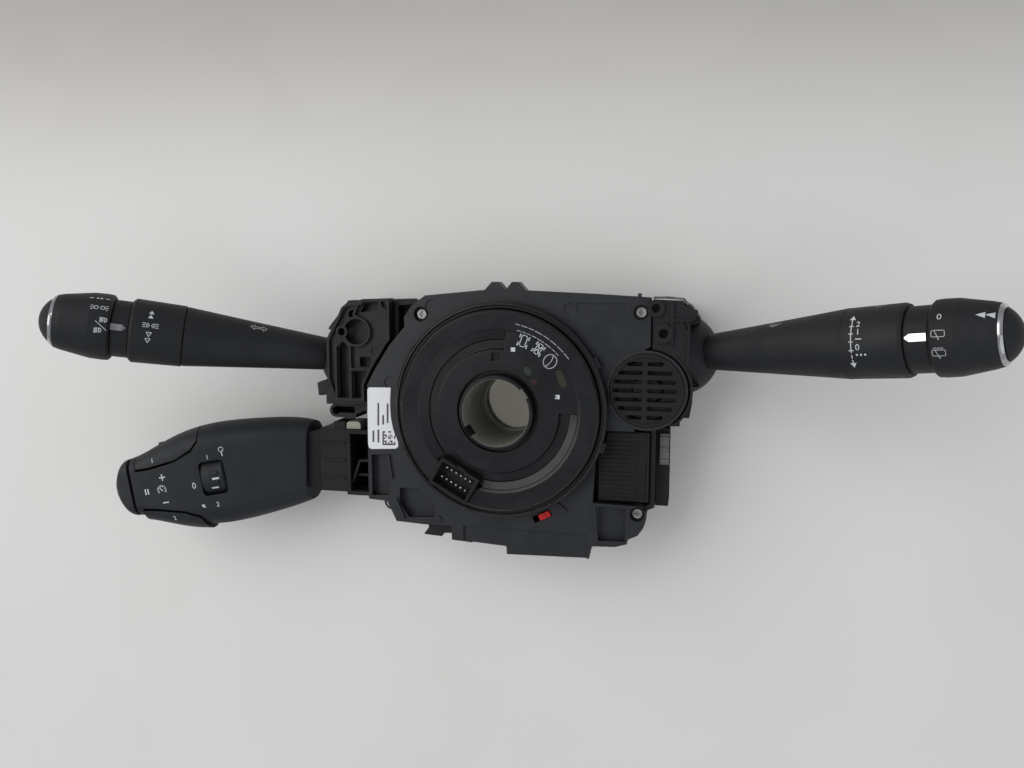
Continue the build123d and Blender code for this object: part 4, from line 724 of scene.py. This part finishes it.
def chassis(crossed=False):
    """Vehicle frame seen from above, crossed out for the wrong position."""
    outline = [
        (-1.5, -2.5), (-1.5, 2.2), (-0.9, 2.9), (0.9, 2.9), (1.5, 2.2), (1.5, -2.5), (0.9, -3.0),
        (-0.9, -3.0),
    ]
    art = Artwork().stroke(outline, width=0.42, closed=True)
    for y in (-2.4, 2.1):
        for side in (-1, 1):
            art.stroke([(side * 1.5, y), (side * 2.5, y)], width=0.42)
            art.stroke([(side * 2.5, y - 0.8), (side * 2.5, y + 0.8)], width=0.6)
    if crossed:
        art.stroke([(-1.4, -2.6), (1.4, 2.6)], width=0.5)
        art.stroke([(-1.4, 2.6), (1.4, -2.6)], width=0.5)
    return art


# left-to-right directions of the prints
left_reading = Vector((0.866, -0.146, -0.479))
right_reading = Vector((0.98, 0.10, 0.5))
paddle_reading = Vector((0.97, 0.18, -0.17))
flat_reading = Vector((0.9784, -0.02, 0.0))
numeral_height = 2.5

# left stalk: light positions, fog-lamp ring and direction arrows
light_dots = Artwork().stroke([(-4.2, 0), (-2.6, 0)], width=0.5).dot((-0.8, 0), 0.55)
light_dots.dot((0.8, 0), 0.55).stroke([(2.6, 0), (4.2, 0)], width=0.5)
print_at("print_light_dots", light_dots, "left_knob", left_reading)
print_at("print_side_lamps", side_lamps(), "left_knob", left_reading)
print_at("print_main_beam", lamp(beams=5), "left_knob", left_reading)
print_at("print_dip_beam", lamp(beams=5, dip=0.35), "left_knob", left_reading)
slash = Artwork().stroke([(-2.4, 1.9), (2.4, -1.9)], width=0.26)
print_at("print_beam_slash", slash, "left_knob", left_reading)
fog_up = triangle(2.0).also(triangle(2.0).moved((-0.1, -2.3)))
print_at("print_fog_up", fog_up, "left_fog_ring", left_reading)
fog_lamps = lamp(beams=3).moved((-1.5, 0), 0.95)
fog_lamps.also(lamp(beams=3, mirrored=True).moved((1.5, 0), 0.95))
print_at("print_fog_lamps", fog_lamps, "left_fog_ring", left_reading)
down = triangle(1.9, points_up=False, hollow=True)
print_at("print_fog_down", down.also(down.moved((-0.3, -2.9))), "left_fog_ring", left_reading)
direction_arrows = turn_arrow(-1).also(turn_arrow(1)).resized(1.35)
print_at("print_direction", direction_arrows, "left_stalk_body", left_reading, dim_ink)

# right stalk: wiper speeds, wiper marks and rear wiper positions
scale_line = Artwork()
for top, bottom in ((8.0, -5.0), (-6.0, -7.2), (-7.9, -9.2)):
    scale_line.stroke([(0, top), (0, bottom)], width=0.36)
scale_line.polygon([(-1.2, 8.0), (1.2, 8.0), (0, 9.8)])
scale_line.polygon([(-1.2, -9.0), (1.2, -9.0), (0, -10.8)])
for level in (5.4, 2.4, -0.8, -4.2):
    scale_line.stroke([(-0.8, level), (0.8, level)], width=0.36)
print_at("print_wiper_scale", scale_line, "right_stalk_body", right_reading)
for label in ("2", "1", "0"):
    numeral = Artwork().glyphs(label, numeral_height)
    print_at(f"print_wiper_{label}", numeral, "right_stalk_body", right_reading)
print_at("print_wiper_pause", Artwork().dash(2.2), "right_stalk_body", right_reading)
rain = Artwork().dot((-1.6, -0.1), 0.42).dot((0, -0.1), 0.42).dot((1.6, -0.1), 0.42)
print_at("print_wiper_rain", rain, "right_stalk_body", right_reading)
print_at("print_wiper_front", wiper_fan().resized(1.2), "right_stalk_body", right_reading, dim_ink)
print_at("print_wiper_mist", wiper_fan(), "right_stalk_body", right_reading, dim_ink)
print_at("print_rear_zero", Artwork().glyphs("0", numeral_height), "right_knob", right_reading)
print_at("print_rear_wiper", rear_window(), "right_knob", right_reading, dim_ink)
print_at("print_rear_wash", rear_window(wet=True), "right_knob", right_reading, dim_ink)
arrow = Artwork().polygon([(-1.6, 0), (1.6, -1.3), (1.6, 1.3)])
rear_arrows = arrow.moved((-2.0, 0)).also(arrow.moved((1.2, 0.1)))
print_at("print_rear_arrows", rear_arrows, "right_knob", right_reading)

# cruise paddle: memory buttons, set and pause marks, wheel positions
memory_height = 2.6
memory_one = Artwork().glyphs("1", memory_height)
memory_two = Artwork().glyphs("2", memory_height)
print_at("print_memory_one", memory_one, "cruise_upper_button", paddle_reading)
print_at("print_memory_two", memory_two, "cruise_lower_button", paddle_reading)
plus = Artwork().dash(3.0, width=0.6).stroke([(0, -1.5), (0, 1.5)], width=0.6)
print_at("print_faster", plus, "cruise_front_shell", paddle_reading)
print_at("print_slower", Artwork().dash(3.0, width=0.6), "cruise_front_shell", paddle_reading)
print_at("print_gauge", gauge(), "cruise_front_shell", paddle_reading)
pause = Artwork()
for x in (-0.75, 0.75):
    pause.stroke([(x, -1.3), (x, 1.3)], width=0.7)
print_at("print_pause", pause, "cruise_front_shell", paddle_reading)
print_at("print_wheel_zero", Artwork().glyphs("0", 3.2), "cruise_front_shell", paddle_reading)
wheel_one = Artwork().glyphs("1", numeral_height)
print_at("print_wheel_one", wheel_one, "cruise_front_shell", paddle_reading)
pin_mark = Artwork().arc((0, 1.1), 1.15, 0, 360, width=0.5).stroke([(0, 0), (0.2, -2.2)], width=0.5)
print_at("print_pin_mark", pin_mark, "cruise_front_shell", paddle_reading)
wheel_two = Artwork().glyphs("2", numeral_height)
print_at("print_wheel_two", wheel_two, "cruise_front_shell", paddle_reading)
corner_mark = Artwork().polygon(
    [(-1.0, 0.9), (0.9, 0.6), (0.3, 0.1), (1.0, -0.8), (0.5, -1.0), (-0.1, -0.3), (-0.6, -0.8)]
)
print_at("print_corner_mark", corner_mark, "cruise_front_shell", paddle_reading)
for place in ("upper", "lower"):
    wheel_dash = Artwork().dash(3.0, width=1.0)
    print_at(f"print_wheel_dash_{place}", wheel_dash, "cruise_wheel", paddle_reading)

# clock-spring rotor: set-up symbols
right_frame = chassis().resized(0.88, turn=-20)
wrong_frame = chassis(crossed=True).resized(0.85, turn=-36)
wheel_mark = Artwork().arc((0, 0), 3.1, 0, 360, width=0.42, steps=28, squash=1.12)
wheel_mark.arc((-6.0, 0), 6.4, -26, 26, width=0.46, steps=10)
square = Artwork().polygon([(-1.05, -0.95), (0.95, -1.0), (1.0, 0.95), (-1.0, 0.95)])
print_at("print_rotor_frame", right_frame, "rotor_disc", flat_reading)
print_at("print_rotor_crossed", wrong_frame, "rotor_disc", flat_reading)
print_at("print_rotor_wheel", wheel_mark.resized(0.95, turn=-36), "rotor_disc", flat_reading)
print_at("print_rotor_square_a", square, "rotor_disc", flat_reading)
print_at("print_rotor_square_b", square, "rotor_disc", flat_reading)

# two curved rows of dashes of uneven length stand in for the rotor's lettering
column_up = Vector((0, 0, 1))
column_right = Vector((1, 0, 0))
above_rotor = Vector((0, 0, 54 * MM))
dash_gap = 1.2
for row, (radius_mm, start, end) in enumerate(((41.2, 78.0, 40.0), (38.6, 76.0, 44.0))):
    dashes = Artwork()
    angle = start
    while angle > end:
        length = 3.6 + 1.4 * sin(7.0 * angle)
        dashes.arc((0, 0), radius_mm, angle, angle - length, width=0.34, steps=4)
        angle -= length + dash_gap
    name = f"print_rotor_dashes_{row}"
    lay_on(name, dashes, "rotor_disc", above_rotor, column_up, column_right, dim_ink)


# ============================================= label ==============================================
def on_level(x, y, level_mm):
    """Point where the line of sight meets a plane across the column."""
    start, direction = photo_ray(x, y)
    return start + direction * (level_mm * MM - start.z) / direction.z


def thin_plate(name, outline, bottom_mm, thickness_mm, finish, body, rounding_mm=0.0):
    """Flat plate over an outline of (x, y) points."""
    plate = bmesh.new()
    lower = [plate.verts.new((x, y, bottom_mm * MM)) for x, y in outline]
    upper = [plate.verts.new((x, y, (bottom_mm + thickness_mm) * MM)) for x, y in outline]
    plate.faces.new(upper)
    plate.faces.new(lower[::-1])
    for k in range(len(outline)):
        n = (k + 1) % len(outline)
        plate.faces.new([lower[k], lower[n], upper[n], upper[k]])
    bmesh.ops.recalc_face_normals(plate, faces=plate.faces[:])
    piece = mesh_object(name, plate, finish)
    if rounding_mm:
        bevel = piece.modifiers.new("rounding", "BEVEL")
        bevel.width = rounding_mm * MM
        bevel.segments = 2
    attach(piece, body)
    return piece


label_level_mm = 45.02
label_marks_lift_mm = 0.15
label_spots = [
    (369.5, 387.3), (390.8, 387.6), (390.3, 397), (390.2, 407), (391, 418), (393, 428), (395.4, 435.8),
    (396.6, 437.2), (398.3, 443), (398.3, 446.5), (396, 448.6), (371.5, 449), (369, 447.5),
    (368.2, 444), (367.6, 410), (367.4, 390), (368.1, 388.2),
]
# upright bars of the label: (x, top, bottom), in the photo's pixels
label_bar_spots = [
    (378.3, 403, 425.5), (383.2, 415, 424.5), (387.6, 403.5, 423), (373.4, 430.5, 442),
    (378.4, 429.5, 442.5),
]
label_bar_half_width = 0.9
# block pattern of the label, also in pixels
block_spot = (382.4, 431.2)
block_width, block_height = 1.45, 1.55
block_rows = block_columns = 9

label_paper = ink("label_paper", (0.70, 0.71, 0.72), (0.80, 0.81, 0.82), rough=0.38, worn=0.4)
label_ink = ink("label_print", (0.03, 0.03, 0.035), (0.07, 0.07, 0.075), rough=0.6)
label_outline = [on_level(x, y, label_level_mm) for x, y in label_spots]
thin_plate(
    "label", [(p.x, p.y) for p in label_outline], label_level_mm, thickness_mm=0.12,
    finish=label_paper, body="column_module", rounding_mm=0.04,
)
bars = [
    (x - label_bar_half_width, top, x + label_bar_half_width, bottom)
    for x, top, bottom in label_bar_spots
]


def block_is_dark(row, column):
    """Pattern that says nothing: solid left and bottom edges, a cleared upper right corner."""
    if column > 5 and row < 3:
        return False
    mixed = (row * 7 + column * 5 + row * column * 3) % 4 < 2
    return mixed or column == 0 or row == block_rows - 1


blocks = []
for row in range(block_rows):
    for column in range(block_columns):
        if block_is_dark(row, column):
            x = block_spot[0] + block_width * column
            y = block_spot[1] + block_height * row
            blocks.append((x, y, x + block_width, y + block_height))
marks = bmesh.new()
marks_level_mm = label_level_mm + label_marks_lift_mm
for x0, y0, x1, y1 in bars + blocks:
    corners = [on_level(x, y, marks_level_mm) for x, y in ((x0, y1), (x1, y1), (x1, y0), (x0, y0))]
    marks.faces.new([marks.verts.new(corner) for corner in corners])
label_marks = mesh_object("label_marks", marks, label_ink)
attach(label_marks, "column_module")


# ====================================== details of the rotor ======================================
def oblong(centre_mm, length_mm, width_mm, turn, steps=8):
    """Outline of a rounded slot shape, turned in degrees."""
    points = []
    for end, start in ((1, -90), (-1, 90)):
        for k in range(steps + 1):
            angle = radians(start + 180 * k / steps)
            x = end * (length_mm - width_mm) / 2 + width_mm / 2 * cos(angle)
            y = width_mm / 2 * sin(angle)
            c, s = cos(radians(turn)), sin(radians(turn))
            points.append(((centre_mm[0] + c * x - s * y) * MM, (centre_mm[1] + s * x + c * y) * MM))
    return points


amber_window = plastic(
    "amber_insert", (0.020, 0.019, 0.012), (0.034, 0.031, 0.019), rough=0.3, grain_mm=0.8, grain=0.05
)
dark_red = plastic(
    "dark_red_mark", (0.026, 0.003, 0.006), (0.044, 0.005, 0.009), rough=0.4, grain_mm=0.8, grain=0.05
)
grey_pin = plastic(
    "grey_pin", (0.012, 0.015, 0.015), (0.020, 0.024, 0.023), rough=0.45, grain_mm=0.8, grain=0.05
)
window_level_mm = 53.35
step_level_mm = 53.62
window_outline = oblong((29.5, 15.9), length_mm=8.4, width_mm=3.4, turn=-68)
red_outline = oblong((17.1, 14.2), length_mm=3.0, width_mm=2.6, turn=30)
pin_outline = oblong((14.2, 19.0), length_mm=4.4, width_mm=3.4, turn=-60)
thin_plate("rotor_amber_window", window_outline, window_level_mm, 0.2, amber_window, "rotor")
thin_plate("rotor_red_mark", red_outline, step_level_mm, 0.12, dark_red, "rotor")
thin_plate("rotor_grey_pin", pin_outline, step_level_mm, 0.3, grey_pin, "rotor", rounding_mm=0.1)


def ring_part(name, section, start, end, finish, body, steps=96):
    """Part of a ring round the column, in degrees; the section's points are (radius, level) in mm."""
    ring = bmesh.new()
    rows = []
    for k in range(steps + 1):
        angle = radians(start + (end - start) * k / steps)
        c, s = cos(angle) * MM, sin(angle) * MM
        rows.append([ring.verts.new((radius * c, radius * s, level * MM)) for radius, level in section])
    for row, following in zip(rows, rows[1:]):
        for k in range(len(section)):
            n = (k + 1) % len(section)
            ring.faces.new([row[k], row[n], following[n], following[k]])
    ring.faces.new(rows[0][::-1])
    ring.faces.new(rows[-1])
    bmesh.ops.recalc_face_normals(ring, faces=ring.faces[:])
    piece = mesh_object(name, ring, finish)
    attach(piece, body)
    return piece


# sloping edge of the rotor's dish, on both sides of the connector
dish_edge = [(36.98, 53.04), (33.3, 51.75), (32.9, 51.0), (36.42, 51.0)]
for side, start, end in (("left", 84.5, 219.0), ("right", 258.0, 359.5)):
    ring_part(f"rotor_dish_edge_{side}", dish_edge, start, end, rotor_black, "rotor")
